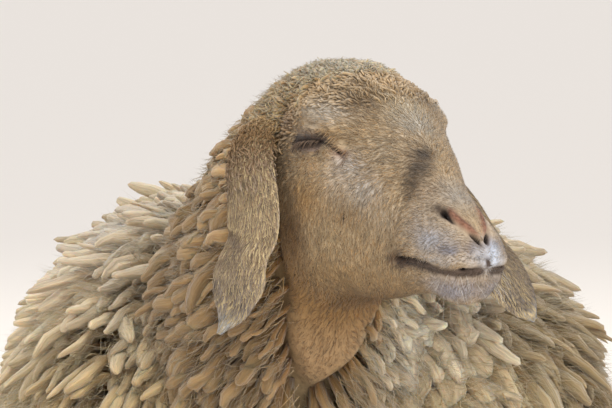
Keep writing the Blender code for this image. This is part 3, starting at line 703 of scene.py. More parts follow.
# Washes of colour on the head's short hair: place (forward, outward, up), reach, colour and
# strength; each is mixed in by a bell of distance, in this order.
HAIR_GROUND = (0.430, 0.325, 0.200)
HEAD_WASHES_AND_PAINTED_LIGHT = {
    "forehead": ((0.018, 0.028, 0.027), (0.03, 0.022, 0.013), (0.215, 0.15, 0.08), 0.9),
    "forehead_front": ((0.038, 0.004, 0.022), (0.014, 0.014, 0.012), (0.5, 0.43, 0.31), 0.9),
    "brow": ((0.004, 0.053, 0.019), (0.02, 0.02, 0.009), (0.53, 0.475, 0.4), 0.95),
    "brow_edge": ((0.012, 0.055, 0.007), (0.009, 0.016, 0.005), (0.5, 0.36, 0.2), 0.85),
    "temple": ((-0.052, 0.048, 0.01), (0.012, 0.022, 0.013), (0.24, 0.17, 0.115), 0.85),
    "bridge": ((0.049, 0.002, 0.011), (0.02, 0.016, 0.013), (0.38, 0.35, 0.3), 0.9),
    "nose_side": ((0.049, 0.031, -0.006), (0.018, 0.016, 0.012), (0.4, 0.325, 0.23), 0.85),
    "under_eye": ((-0.012, 0.057, -0.021), (0.016, 0.02, 0.008), (0.58, 0.43, 0.26), 0.9),
    "tear_patch": ((0.025, 0.047, -0.019), (0.012, 0.018, 0.009), (0.44, 0.41, 0.39), 0.9),
    "pale_patch": ((0.017, 0.054, -0.031), (0.013, 0.02, 0.012), (0.54, 0.455, 0.36), 0.9),
    "pale_side": ((0.042, 0.043, -0.037), (0.014, 0.018, 0.014), (0.49, 0.455, 0.42), 0.9),
    "face_side": ((0.055, 0.035, -0.056), (0.015, 0.018, 0.012), (0.53, 0.44, 0.325), 0.9),
    "cheek": ((-0.018, 0.056, -0.045), (0.018, 0.02, 0.016), (0.47, 0.305, 0.135), 0.9),
    "cheek_spot": ((0.023, 0.049, -0.057), (0.009, 0.018, 0.0045), (0.29, 0.19, 0.095), 0.85),
    "cheek_shade": ((-0.036, 0.056, -0.076), (0.014, 0.022, 0.026), (0.185, 0.104, 0.04), 0.9),
    "cheek_low": ((0.007, 0.051, -0.076), (0.016, 0.018, 0.013), (0.47, 0.364, 0.222), 0.8),
    "jaw": ((0.0, 0.04, -0.103), (0.05, 0.03, 0.014), (0.39, 0.27, 0.135), 0.85),
    "under_jaw": ((0.0, 0.01, -0.128), (0.07, 0.026, 0.022), (0.21, 0.12, 0.038), 0.92),
    "nose": ((0.099, 0.003, -0.039), (0.018, 0.015, 0.015), (0.33, 0.3, 0.262), 0.9),
    "nose_flank": ((0.089, 0.019, -0.038), (0.011, 0.012, 0.01), (0.29, 0.226, 0.163), 0.8),
    "muzzle": ((0.086, 0.027, -0.056), (0.014, 0.016, 0.013), (0.41, 0.34, 0.27), 0.9),
    "muzzle_side": ((0.104, 0.028, -0.07), (0.021, 0.018, 0.011), (0.355, 0.355, 0.385), 0.95),
    "lip_speckle": ((0.122, 0.025, -0.077), (0.01, 0.014, 0.005), (0.155, 0.165, 0.215), 0.8),
    "under_nostril": ((0.131, 0.009, -0.074), (0.007, 0.008, 0.006), (0.15, 0.11, 0.088), 0.85),
    # White hair on the lip's front, painted bluish and lighter as light from the sky.
    "lip_front_white_and_painted_light": ((0.136, 0.004, -0.0825), (0.01, 0.012, 0.011), (0.42, 0.47, 0.57), 0.6),
    "lip_edge": ((0.112, 0.026, -0.085), (0.024, 0.018, 0.003), (0.44, 0.43, 0.44), 0.7),
    "chin": ((0.114, 0.014, -0.107), (0.026, 0.024, 0.01), (0.29, 0.29, 0.345), 0.95),
    "mouth_corner": ((0.067, 0.03, -0.086), (0.008, 0.016, 0.006), (0.16, 0.1, 0.055), 0.9),
}
# Markings that aren't mirrored, from the right: the dark smudge beside the bridge of the
# nose, and the pale left half of the upper lip's front, which is white hair with painted
# bluish light on it.
SMUDGE_AND_PAINTED_LIGHT = {
    "lip_white_and_painted_light": ((0.137, -0.0065, -0.08), (0.009, 0.0075, 0.013), (0.56, 0.63, 0.76), 0.9),
    "halo": ((0.073, 0.016, -0.022), (0.014, 0.015, 0.02), (0.24, 0.185, 0.135), 0.7),
    "upper": ((0.07, 0.008, -0.01), (0.0085, 0.0095, 0.008), (0.05, 0.04, 0.034), 0.95),
    "middle": ((0.073, 0.016, -0.02), (0.007, 0.008, 0.0075), (0.07, 0.055, 0.042), 0.9),
    "lower": ((0.075, 0.023, -0.03), (0.007, 0.01, 0.011), (0.095, 0.069, 0.046), 0.9),
}
# Colours along lines of the skin: stops, how much outward counts, reach, colour, strength.
# The dark ones under the nostrils and at their corners, in the philtrum, along the mouth and
# at its corner, and in the eye's slit are painted shade in those openings and creases.
LINE_WASHES_AND_SHADE = {
    "nostril_rim": (((0.108, 0.014, -0.05), (0.119, 0.01, -0.0575), (0.1325, 0.003, -0.066)),
        1.0, 0.0036, (0.235, 0.112, 0.07), 1.2),
    "between_nostrils": (((0.134, 0.0, -0.066), (0.137, 0.0, -0.0745)), 1.0, 0.003, (0.2, 0.12, 0.088),
        0.8),
    "under_nostril": (((0.104, 0.0165, -0.0525), (0.112, 0.0145, -0.06), (0.1215, 0.0095, -0.0675),
        (0.131, 0.0035, -0.0735)), 1.0, 0.0024, (0.08, 0.052, 0.04), 0.9),
    "nostril_corner": (((0.1, 0.018, -0.048), (0.1045, 0.0165, -0.0512)),
        1.0, 0.0046, (0.035, 0.02, 0.013), 0.95),
    "philtrum": (((0.136, 0.0, -0.072), (0.138, 0.0, -0.08), (0.137, 0.0, -0.088)),
        1.0, 0.0021, (0.06, 0.036, 0.024), 1.5),
    "mouth": (((0.065, 0.031, -0.0885), (0.087, 0.027, -0.0895), (0.105, 0.027, -0.0912),
        (0.125, 0.02, -0.093), (0.134, 0.008, -0.0925)), 0.6, 0.0034, (0.085, 0.058, 0.044), 1.9),
    "mouth_corner": (((0.06, 0.032, -0.087), (0.072, 0.031, -0.0905)), 0.5, 0.005, (0.1, 0.062, 0.04),
        0.9),
    "upper_lid": (((-0.031, 0.056, 0.0032), (-0.013, 0.059, 0.0046), (0.006, 0.054, 0.0032)),
        0.2, 0.003, (0.22, 0.145, 0.1), 0.6),
    "lash_shade": (((-0.033, 0.056, -0.001), (-0.015, 0.059, 0.0006), (0.004, 0.056, 0.0002)),
        0.2, 0.003, (0.06, 0.037, 0.026), 1.2),
    "slit_shade": (((-0.032, 0.056, -0.0046), (-0.018, 0.058, -0.0052), (-0.001, 0.057, -0.0042)),
        0.2, 0.0044, (0.046, 0.028, 0.02), 2.2),
    "lower_lid": (((-0.026, 0.056, -0.0104), (-0.012, 0.059, -0.0096), (0.001, 0.055, -0.0074)),
        0.2, 0.0014, (0.46, 0.35, 0.3), 0.65),
    "slit": (((-0.033, 0.056, -0.0049), (-0.021, 0.058, -0.0044), (-0.01, 0.059, -0.0028),
        (0.0, 0.057, -0.0018), (0.0085, 0.0545, -0.0028)), 0.2, 0.003, (0.02, 0.012, 0.009), 1.0),
    "tear_line": (((0.0075, 0.0555, -0.0026), (0.012, 0.053, -0.0064), (0.017, 0.05, -0.0098)),
        0.2, 0.0015, (0.06, 0.035, 0.022), 0.9),
    "tear_hollow": (((0.015, 0.05, -0.0098), (0.0205, 0.049, -0.0112)), 0.2, 0.0034, (0.19, 0.095, 0.065),
        0.9),
}
THROAT = (0.340, 0.222, 0.115)
THROAT_TOP = (0.240, 0.135, 0.046)
THROAT_END = (0.330, 0.245, 0.140)
PAINTED_RECESS_SHADE = (0.020, 0.012, 0.009)  # painted shade inside the nostrils, along the mouth's line and along the tear line
POLL_WOOL = (0.370, 0.250, 0.125)
POLL_TOP = (0.370, 0.300, 0.205)
# Golden wool of the nape, painted darker still as shade.
NAPE_WOOL_AND_SHADE = (0.250, 0.168, 0.082)
BREAST = ROOM_ORIGIN + (0.085, -0.300, 0.350)  # where the wool lies low and smooth
BREAST_REACH = (0.090, 0.110, 0.080)
EAR_GROUND = (0.320, 0.255, 0.195)
# Colours towards the ear's tip, and towards its root, with the shares of its length between
# which they come and go.
EAR_LOW = (((0.275, 0.245, 0.240), 0.55, 0.80), ((0.520, 0.550, 0.600), 0.82, 0.95))
EAR_HIGH = (((0.240, 0.145, 0.060), 0.10, 0.34), ((0.420, 0.290, 0.140), 0.02, 0.12))
EAR_RIM = (0.56, 0.490, 0.410)
LEFT_EAR_SHADE = 0.80
LIMB_TINT = (0.40, 0.300, 0.190)
EYE_WHITE = (0.23, 0.17, 0.13)
EYE_AMBER = (0.16, 0.085, 0.030)
EYE_RING = (0.05, 0.028, 0.014)
EYE_SLOT = (0.006, 0.005, 0.004)
# The fleece: its ground, and washes by place in the tables' room, reach, colour and strength.
WOOL_GROUND = (0.470, 0.368, 0.205)
WOOL_LOW = (0.420, 0.315, 0.160)
WOOL_WASHES_AND_PAINTED_LIGHT = {
    "right_shoulder": ((-0.18, -0.08, 0.44), (0.13, 0.32, 0.065), (0.475, 0.46, 0.45), 0.95),
    "left_back": ((0.12, 0.1, 0.44), (0.12, 0.28, 0.065), (0.46, 0.41, 0.34), 0.85),
    "right_side": ((-0.165, -0.13, 0.37), (0.05, 0.08, 0.04), (0.72, 0.6, 0.42), 0.85),
    "right_low": ((-0.16, -0.26, 0.31), (0.09, 0.08, 0.038), (0.31, 0.23, 0.115), 0.8),
    # Golden wool at the base of the neck, painted darker as shade.
    "neck_base_painted_shade": ((-0.085, -0.35, 0.375), (0.07, 0.1, 0.09), (0.24, 0.158, 0.07), 0.9),
    # Pale cream wool, with painted light added to lift it out of the head's shadow.
    "breast": ((0.06, -0.3, 0.374), (0.056, 0.12, 0.056), (0.76, 0.69, 0.56), 0.97),
    # Painted shade: golden wool of the left shoulder and the hollow above it, painted dark.
    "left_shoulder_painted_shade": ((0.205, -0.22, 0.32), (0.075, 0.17, 0.085), (0.15, 0.1, 0.042), 0.95),
    "hollow_painted_shade": ((0.15, -0.25, 0.39), (0.048, 0.13, 0.027), (0.1, 0.064, 0.03), 0.92),
}


def mix(colour, other, share):
    """The other colour mixed in by its share."""
    return colour + (np.array(other) - colour) * share[..., None]


def washed(colour, place, washes):
    """Mixes each wash in by a bell of its distance."""
    for centre, reach, wash, strength in washes.values():
        away = ((place - centre) / reach) ** 2
        colour = mix(colour, wash, strength * np.exp(-away.sum(axis=-1)))
    return colour


def head_tint(points, row, sunk, wool):
    """Colour of the head and neck: short hair with its washes, among them painted light on the
    lip's front; darker where a line is drawn in, as painted shade; then throat and wool, the
    nape's wool darkened further by painted shade."""
    place = in_head(points)
    left = place[..., 1].copy()
    place[..., 1] = np.abs(left)
    moved = drifted(place, points, 0.012, (23, 24, 25), 0.0022)
    colour = washed(all_over(HAIR_GROUND, points), moved, HEAD_WASHES_AND_PAINTED_LIGHT)
    colour = washed(colour, np.stack([moved[..., 0], -left, moved[..., 2]], axis=-1), SMUDGE_AND_PAINTED_LIGHT)
    mottle = drift(points, 0.016, 21) * 0.09 + drift(points, 0.006, 22) * 0.09
    colour = colour * (1 + mottle[..., None])
    for line, sideways, reach, wash, strength in LINE_WASHES_AND_SHADE.values():
        away = line_distance(place, line, sideways)
        side = ramp(place[..., 1], 0.030, 0.040) if sideways < 0.5 else 1.0
        colour = mix(colour, wash, np.minimum(strength * bell(away, reach), 0.97) * side)
    colour = mix(colour, THROAT, 1 - ramp(row, 4.4, 6.2))
    colour = mix(colour, THROAT_TOP, 0.85 * bell(row - 5.0, 0.9))
    colour = mix(colour, THROAT_END, 1 - ramp(row, 2.2, 3.5))
    # Painted shade: the deeper the skin is drawn in, the darker it is painted.
    colour = mix(colour, PAINTED_RECESS_SHADE, 0.97 * ramp(sunk, 0.0011, 0.0032))
    poll = mix(all_over(POLL_WOOL, points), POLL_TOP, ramp(place[..., 2], 0.036, 0.052))
    poll = mix(poll, NAPE_WOOL_AND_SHADE, 1 - ramp(row, 4.0, 6.0))
    cream = ramp(left, 0.0, 0.05) * (1 - ramp(row, 4.2, 5.6))
    poll = mix(poll, wool_tint(points), np.maximum(1 - ramp(row, 1.5, 3.4), cream))
    return mix(colour, poll, wool)


def wool_tint(points):
    """Colour of the fleece: pale on the back, golden lower down, with slow drifts between, and
    painted light and shade in some of its washes.
    """
    place = points - ROOM_ORIGIN
    colour = mix(all_over(WOOL_GROUND, points), WOOL_LOW, 1 - ramp(place[..., 2], 0.02, 0.20))
    colour = washed(colour, drifted(place, points, 0.09, (33, 34, 35), 0.016), WOOL_WASHES_AND_PAINTED_LIGHT)
    return colour * (1 + drift(points, 0.10, 31) * 0.08 + drift(points, 0.03, 32) * 0.07)[..., None]


def flat_tint(points, colour, spread=0.07):
    """One colour that varies a little from place to place."""
    return np.array(colour) * (1 + drift(points, 0.02, 41) * spread)[..., None]


def ear_tint(outer, side):
    """Colour of an ear: golden at its root, paler at its tip and along its rim."""
    share = np.linspace(0, 1, len(outer))[:, None] * np.ones((1, outer.shape[1]))
    spread = np.abs(np.cos(circle(outer.shape[1])))
    tint = flat_tint(outer, EAR_GROUND, 0.09)
    for colour, low, high in EAR_LOW:
        tint = mix(tint, colour, ramp(share, low, high))
    for colour, low, high in EAR_HIGH:
        tint = mix(tint, colour, 1 - ramp(share, low, high))
    tint = mix(tint, EAR_RIM, 0.9 * ramp(spread, 0.90, 0.985) * ramp(share, 0.25, 0.45))
    return tint * (LEFT_EAR_SHADE if side > 0 else 1.0)


# ---- meshes --------------------------------------------------------------------------------


def placed(name, data):
    """An object of this data, in the scene."""
    obj = bpy.data.objects.new(name, data)
    bpy.context.scene.collection.objects.link(obj)
    return obj


def make_mesh(name, points, corners, sizes, material, tint=None, maps=()):
    """A smooth mesh object from flat arrays: points, the corners of all faces one after
    another, each face's number of corners, colours at the points and flat maps at corners."""
    mesh = bpy.data.meshes.new(name)
    mesh.vertices.add(len(points))
    mesh.vertices.foreach_set("co", np.ascontiguousarray(points, np.float32).ravel())
    mesh.loops.add(len(corners))
    mesh.loops.foreach_set("vertex_index", corners.astype(np.int32))
    mesh.polygons.add(len(sizes))
    starts = np.concatenate([[0], np.cumsum(sizes)[:-1]])
    mesh.polygons.foreach_set("loop_start", starts.astype(np.int32))
    mesh.update(calc_edges=True)
    mesh.polygons.foreach_set("use_smooth", np.ones(len(sizes), bool))
    if tint is not None:
        layer = mesh.color_attributes.new(name="tint", type="FLOAT_COLOR", domain="POINT")
        rgba = np.concatenate([tint, np.ones((len(tint), 1))], axis=1)
        layer.data.foreach_set("color", rgba.astype(np.float32).ravel())
    for title, values in maps:
        layer = mesh.uv_layers.new(name=title)
        layer.data.foreach_set("uv", values.astype(np.float32).ravel())
    mesh.materials.append(material)
    return placed(name, mesh)


def grid_corners(rings, columns):
    """Point numbers of the quads of a closed grid, and the same corners as (ring, column),
    where the column may run one past the last."""
    ring, column = np.meshgrid(np.arange(rings - 1), np.arange(columns), indexing="ij")
    places = np.stack([
        np.stack([ring, ring, ring + 1, ring + 1], axis=-1),
        np.stack([column, column + 1, column + 1, column], axis=-1),
    ], axis=-1).reshape(-1, 4, 2)
    return places[..., 0] * columns + places[..., 1] % columns, places


def form_object(name, form, material):
    """A form's skin as one closed mesh, with a fan of triangles over each end ring and its
    flat map."""
    rings, columns = form.rings, form.columns
    quads, places = grid_corners(rings, columns)
    side = np.arange(columns)
    around = (side + 1) % columns
    low = (rings - 1) * columns
    fans = [np.stack([np.full(columns, rings * columns), around, side], axis=-1),
            np.stack([np.full(columns, rings * columns + 1), low + side, low + around], axis=-1)]
    points, tint = (np.concatenate([grid.reshape(-1, 3), grid[[0, -1]].mean(axis=1)])
                    for grid in (form.inner, form.tint))
    ring, after = form.inner[rings // 2], form.inner[rings // 2 + 1]
    if (ring[0] - ring.mean(axis=0)) @ np.cross(ring[1] - ring[0], after[0] - ring[0]) < 0:
        quads, places, fans = quads[:, ::-1], places[:, ::-1], [fan[:, ::-1] for fan in fans]
    corner = np.concatenate([faces.ravel() for faces in (quads, *fans)])
    sizes = np.concatenate([np.full(len(quads), 4), np.full(2 * columns, 3)])
    fan = np.concatenate([np.zeros((3 * columns, 2)), np.full((3 * columns, 2), (rings - 1, 0))])
    fan[:, 1] = np.repeat(np.tile(side, 2), 3)
    flat = np.concatenate([places.reshape(-1, 2), fan]) / (rings - 1, columns)
    left, low, right, high = form.island
    flat = np.stack([left + (right - left) * flat[:, 1], low + (high - low) * flat[:, 0]], axis=-1)
    return make_mesh(name, points, corner, sizes, material, tint, [("OFBake", flat)])


# ---- locks and hairs -------------------------------------------------------------------------

PATCH = 0.003  # the size of a tuft's patch on the skin's flat map
PIECE_LIMIT = 190000  # triangles


def tufts(form, place, length, width, shares, girth, rise, turn, columns, flatness, seed,
          curl=0.0, turns=1.0, ridges=0.16, swing=0.0, hook=0.0, droop=0.0):
    """Tapering tufts from their roots on a form, as (tufts, rings, columns, 3).

    The centre line walks along the lie, turned a little; at each share of its length it
    stands at `rise` of the way from skin to coat's end, and may curl round itself, bow to a
    side, hook over at its tip and droop.  A ring is an ellipse of the width times `girth`
    there, with ridges that run along the tuft.  Columns are counted from its underside."""
    rng = np.random.default_rng(seed)
    count = len(place[0])
    shares, girth, rise = (np.array(values, float) for values in (shares, girth, rise))
    here = form.walk(*place, length, shares, turn)
    inner, outer, normal, lie = (form.read(grid, *here)
                                 for grid in (form.inner, form.outer, form.normal, form.lie))
    line = inner + (outer - inner) * rise[..., None]
    line[..., 2] -= (droop * shares**2)[None] * np.ones((count, 1))
    side = np.cross(lie, normal)
    phase = rng.uniform(0, 2 * math.pi, (count, 1)) + shares * turns * 2 * math.pi
    amount = (curl * np.ones(count))[:, None] * ramp(shares, 0.0, 0.5)
    line = line + side * (amount * np.sin(phase))[..., None] + normal * (amount * np.cos(phase))[..., None]
    bow = rng.normal(0, swing, (count, 1)) * shares**1.5 + rng.normal(0, hook, (count, 1)) * shares**4
    line = line + side * (bow * length[:, None])[..., None]
    line = line + normal * (rng.normal(0, hook, (count, 1)) * shares**4 * length[:, None])[..., None]
    way = unit(np.gradient(line, axis=1))
    facing = unit(normal - lie)
    facing = unit(facing - way * (facing * way).sum(axis=-1, keepdims=True))
    across = np.cross(facing, way)
    angle = (np.arange(columns) / columns - 0.25) * 2 * math.pi
    grooved = 1 + rng.uniform(-ridges, ridges, (count, 1, columns))
    grooved = grooved + rng.uniform(-ridges, ridges, (count, len(shares), 1)) * 0.9
    reach = (width[:, None] * girth)[..., None] / 2 * grooved
    points = line[:, :, None] + across[:, :, None] * (reach * np.cos(angle))[..., None]
    points = points + facing[:, :, None] * (reach * flatness * np.sin(angle))[..., None]
    points[..., 2] = np.maximum(points[..., 2], FLOOR_GAP)
    return points


def tuft_pattern(rings, columns):
    """One tuft's corners as (ring, column) and its faces' sizes: quads between its rings,
    triangles up to its point, which is the last ring drawn to one place, and a base."""
    quads = grid_corners(rings - 1, columns)[1]
    side = np.arange(columns)
    low = np.full(columns, rings - 2)
    point = np.stack([np.stack([low, low, low + 1], axis=-1), np.stack([side, side + 1, side], axis=-1)],
                     axis=-1)
    base = np.stack([np.zeros(columns, int), side[::-1]], axis=-1)
    places = np.concatenate([quads.reshape(-1, 2), point.reshape(-1, 2), base])
    return places, np.concatenate([np.full(len(quads), 4), np.full(columns, 3), [columns]])


def piece_groups(batches):
    """Batches of tufts cut and gathered into groups of at most PIECE_LIMIT triangles."""
    groups, room = [[]], PIECE_LIMIT
    for batch in batches:
        count, rings, columns = batch[0].shape[:3]
        cost = (rings - 2) * columns * 2 + columns + columns - 2
        start = 0
        while start < count:
            take = min(count - start, room // cost)
            if take == 0:
                groups.append([])
                room = PIECE_LIMIT
                continue
            groups[-1].append([values[start:start + take] for values in batch])
            room -= take * cost
            start += take
    return groups


def tuft_objects(name, batches, material):
    """Joins batches of tufts into numbered mesh pieces.

    A batch is (points, tints, roots' flat places across and up, lengths, widths): points
    (tufts, rings, columns, 3), tints (tufts, rings, 3).  OFBake gives each tuft a small patch
    at its root's place; Strand runs round and along each tuft, in metres."""
    made = []
    for number, group in enumerate(piece_groups(batches), 1):
        parts = []
        offset = 0
        for points, tint, across, up, length, width in group:
            count, rings, columns = points.shape[:3]
            places, sizes = tuft_pattern(rings, columns)
            r, c = places[:, 0], places[:, 1]
            tip = r == rings - 1
            local = np.where(tip, (rings - 1) * columns, r * columns + c % columns)
            each = (rings - 1) * columns + 1
            round_share, long_share = (c + 0.5 * tip) / columns, r / (rings - 1)
            patch = np.stack([round_share - 0.5, long_share - 0.5], axis=-1) * PATCH
            luck = (np.arange(count) * 0.618034 % 1)[:, None]
            strand = np.stack([luck * 3 + round_share[None] * (width * math.pi * 0.85)[:, None],
                               luck * 5 + long_share[None] * length[:, None]], axis=-1)
            shape = np.concatenate([points[:, :-1].reshape(count, -1, 3),
                                    points[:, -1].mean(axis=1, keepdims=True)], axis=1)
            shade = np.concatenate([np.repeat(tint[:, :-1], columns, axis=1), tint[:, -1:]], axis=1)
            parts.append((
                shape.reshape(-1, 3), (offset + np.arange(count)[:, None] * each + local[None]).ravel(),
                np.tile(sizes, count), shade.reshape(-1, 3),
                (np.stack([across, up], axis=-1)[:, None] + patch[None]).reshape(-1, 2),
                strand.reshape(-1, 2),
            ))
            offset += count * each
        shape, corners, sizes, shade, bake, strand = (np.concatenate(values) for values in zip(*parts))
        made.append(make_mesh(f"{name}_{number}", shape, corners, sizes, material, shade,
                              [("OFBake", bake), ("Strand", strand)]))
    return made


ROOT_SHADE_WARMTH = (1.16, 0.94, 0.62)  # tufts are browner at their roots, and darker and warmer there as painted shade between them


def tuft_tint(form, place, shares, seed, root_shade, tip_shade, spread, patchy):
    """Colours along each tuft: the form's colour at its root, darker there, partly as painted
    shade between the tufts, and lighter outwards, times a little luck for each tuft and for each
    small patch of tufts."""
    rng = np.random.default_rng(seed)
    base = form.read(form.tint, *place)
    luck = 1 + rng.normal(0, spread, (len(base), 1))
    warmth = 1 + rng.normal(0, spread * 0.35, (len(base), 1)) * np.array((-0.4, 0.2, 1.0))
    if patchy:
        luck = luck + drift(form.read(form.inner, *place), 0.006, seed + 7)[:, None] * patchy
    rise = ramp(np.array(shares, float), 0.0, 0.75)[:, None]
    shade = root_shade * np.array(ROOT_SHADE_WARMTH) * (1 - rise) + tip_shade * rise
    return np.clip((base * luck * warmth)[:, None] * shade[None], 0, 1)


def tuft_batch(form, place, length, width, shares, girth, rise, seed, shades, **style):
    """A batch of tufts with their colours.  Shades: at the root, at the tip, and how much
    they vary from tuft to tuft and from patch to patch."""
    points = tufts(form, place, length, width, shares, girth, rise, seed=seed, **style)
    tint = tuft_tint(form, place, shares, seed + 1, *shades)
    return points, tint, *form.flat_place(*place), length, width


# ---- materials -------------------------------------------------------------------------------


def node(tree, kind, values=(), **settings):
    """A shader node with its settings and its inputs' values or links."""
    made = tree.nodes.new(kind)
    for name, value in settings.items():
        setattr(made, name, value)
    for name, value in dict(values).items():
        if isinstance(value, bpy.types.NodeSocket):
            tree.links.new(value, made.inputs[name])
        else:
            made.inputs[name].default_value = value
    return made


def streaks_group():
    """Fibres or hairs: noise drawn out along one direction, as a shade about 1 and a height."""
    tree = bpy.data.node_groups.new("Streaks", "ShaderNodeTree")
    for name, way, kind in (
        ("Vector", "INPUT", "Vector"), ("Fineness", "INPUT", "Vector"), ("Contrast", "INPUT", "Float"),
        ("Cloudiness", "INPUT", "Float"), ("Waviness", "INPUT", "Float"),
        ("Shade", "OUTPUT", "Float"), ("Height", "OUTPUT", "Float"),
    ):
        tree.interface.new_socket(name, in_out=way, socket_type=f"NodeSocket{kind}")
    given = tree.nodes.new("NodeGroupInput").outputs
    scaled = node(tree, "ShaderNodeVectorMath", {0: given["Vector"], 1: given["Fineness"]},
                  operation="MULTIPLY").outputs[0]
    fine = node(tree, "ShaderNodeTexNoise", {"Vector": scaled, "Scale": 1.0, "Detail": 3.0,
                "Roughness": 0.62, "Distortion": given["Waviness"]}).outputs["Fac"]
    broad = node(tree, "ShaderNodeTexNoise", {"Vector": scaled, "Scale": 0.3, "Detail": 1.0,
                 "Distortion": given["Waviness"]}).outputs["Fac"]
    both = node(tree, "ShaderNodeMath", {0: fine, 1: broad}).outputs[0]
    centred = node(tree, "ShaderNodeMath", {0: both, 1: 1.0}, operation="SUBTRACT").outputs[0]
    shade, height = (
        node(tree, "ShaderNodeMath", dict(enumerate(values)), operation="MULTIPLY_ADD").outputs[0]
        for values in ((centred, given["Contrast"], 1.0), (broad, given["Cloudiness"], fine))
    )
    node(tree, "NodeGroupOutput", {"Shade": shade, "Height": height})
    return tree


def new_material(name, values):
    """A material and its shader, whose own sockets are set to these values."""
    material = bpy.data.materials.new(name)
    material.use_nodes = True
    shader = material.node_tree.nodes["Principled BSDF"]
    for socket, value in values.items():
        shader.inputs[socket].default_value = value
    return material, shader


def coat_material(name, source, fineness, contrast, bump, distance, roughness,
                  sheen=0.0, specular=0.3, waviness=0.0, scatter=0.0):
    """Skin, hair, wool or horn: the tint attribute, shaded and raised by the streaks."""
    material, shader = new_material(name, {
        "Roughness": roughness, "Specular IOR Level": specular, "Sheen Weight": sheen,
        "Sheen Roughness": 0.5, "Subsurface Weight": scatter, "Subsurface Radius": (1.0, 0.62, 0.36),
        "Subsurface Scale": 0.006})
    tree = material.node_tree
    if source == "Object":
        vector = node(tree, "ShaderNodeTexCoord").outputs["Object"]
    else:
        vector = node(tree, "ShaderNodeUVMap", uv_map=source).outputs["UV"]
    tint = node(tree, "ShaderNodeAttribute", attribute_name="tint")
    lines = node(tree, "ShaderNodeGroup", {"Vector": vector, "Fineness": fineness, "Contrast": contrast,
                 "Cloudiness": 0.8, "Waviness": waviness}, node_tree=STREAKS)
    colour = node(tree, "ShaderNodeVectorMath", {0: tint.outputs["Color"], "Scale": lines.outputs["Shade"]},
                  operation="SCALE")
    raised = node(tree, "ShaderNodeBump", {"Strength": bump, "Distance": distance,
                  "Height": lines.outputs["Height"]})
    tree.links.new(colour.outputs[0], shader.inputs["Base Color"])
    tree.links.new(raised.outputs[0], shader.inputs["Normal"])
    return material


def wet_material():
    """The eye's ball: its tint under a clear wet layer."""
    material, shader = new_material("wet_eye", {"Roughness": 0.35, "Coat Weight": 0.5,
                                                "Coat Roughness": 0.04})
    tint = node(material.node_tree, "ShaderNodeAttribute", attribute_name="tint")
    material.node_tree.links.new(tint.outputs["Color"], shader.inputs["Base Color"])
    return material


# ---- pieces ------------------------------------------------------------------------------------

STREAKS = streaks_group()
HIDE = coat_material("short_haired_skin", "Object", (700, 700, 330), 0.50, 0.60, 0.0008, 0.72,
                     sheen=0.05, specular=0.25)
HAIR = coat_material("short_hair", "Strand", (1500, 300, 1), 0.30, 0.2, 0.0003, 0.6, sheen=0.1)
WOOL = coat_material("wool", "Strand", (340, 48, 1), 0.95, 1.0, 0.0030, 0.95, sheen=0.30,
                     specular=0.06, waviness=0.9, scatter=0.6)
BRISTLE = coat_material("lash_and_whisker", "Strand", (1500, 300, 1), 0.2, 0.1, 0.0002, 0.5)
HORN = coat_material("hoof_horn", "Object", (260, 260, 700), 0.35, 0.35, 0.0004, 0.5, specular=0.4)
WET = wet_material()


def head_form():
    """The head and neck's form in the room, with its row numbers and angles."""
    outer, skin, samples, angle, sunk = head_skin()
    share = smooth_rows(HEAD_AND_NECK, samples)[:, SHARE]
    inner, outer = (turn_neck(mirrored(grid), share) for grid in (skin, outer))
    row, angle = samples[:, None] * np.ones((1, HEAD_COLUMNS)), whole(angle)
    depth = np.linalg.norm(outer - inner, axis=-1)
    short = 1 - wool_share(row, angle)
    hairy = inner + grid_normals(inner) * np.minimum(depth, HAIR_DEPTH)[..., None]
    outer = outer + (hairy - outer) * (short * ramp(row, 5.0, 6.0))[..., None]
    place = in_head(inner)
    side = np.sign(place[..., 1])
    wool = wool_share(row, angle, np.maximum(side, 0))
    down = ramp(-place[..., 2], 0.015, 0.055) * (1 - ramp(place[..., 0], 0.055, 0.085))
    ahead = ramp(place[..., 0], 0.09, 0.12) * ramp(-place[..., 2], 0.09, 0.10)
    wish = np.stack([-1.0 + 0.75 * down + 1.0 * ahead, side * 0.30 * (1 - down),
                     -0.25 - 0.9 * down - 1.2 * ahead], axis=-1)
    wish[..., 2] += 0.30 * ramp(place[..., 2], -0.005, 0.01) * (1 - down)
    wish[..., 2] += drift(inner, 0.020, 51) * 0.45
    wish = from_head(wish)
    fleece = fleece_wish(outer, 0.15)
    nape = np.stack([side * 0.75, np.full(side.shape, 0.80), np.full(side.shape, -0.55)], axis=-1)
    fleece = fleece + (nape - fleece) * ramp(row, 1.9, 3.3)[..., None]
    blend = (wool * (1 - ramp(row, 7.2, 8.2)) + (1 - wool) * (1 - ramp(row, 4.6, 6.0)))[..., None]
    form = Form(inner, outer, wish + (fleece - wish) * blend, head_tint(inner, row, whole(sunk), wool),
                HEAD_MAP)
    form.row, form.angle, form.wool = row, angle, wool
    return form


def fleece_wish(points, back):
    """The way the fleece lies: down the sides, outwards over the top and back along it, more
    outwards on the left flank, and straight down over the breast and shoulders."""
    normal = grid_normals(points)
    points = points - ROOM_ORIGIN
    side = np.tanh(points[..., 0] / 0.05)
    top = ramp(normal[..., 2], 0.74, 0.97)
    flank = ramp(points[..., 0], 0.06, 0.16)
    way = side * (0.12 + 0.70 * top + 0.45 * flank)
    lie = np.stack([way, np.full(side.shape, back), np.full(side.shape, -1.0)], axis=-1)
    hang = np.stack([side * (0.06 + 0.60 * flank), -normal[..., 2], normal[..., 1] - 0.3], axis=-1)
    front = 1 - ramp(points[..., 1], -0.27, -0.19)
    lie = lie + (hang - lie) * front[..., None]
    for axis, (size, amount, seed) in enumerate(((0.06, 0.20, 61), (0.09, 0.20, 62))):
        lie[..., axis] += drift(points, size, seed) * amount
    return lie


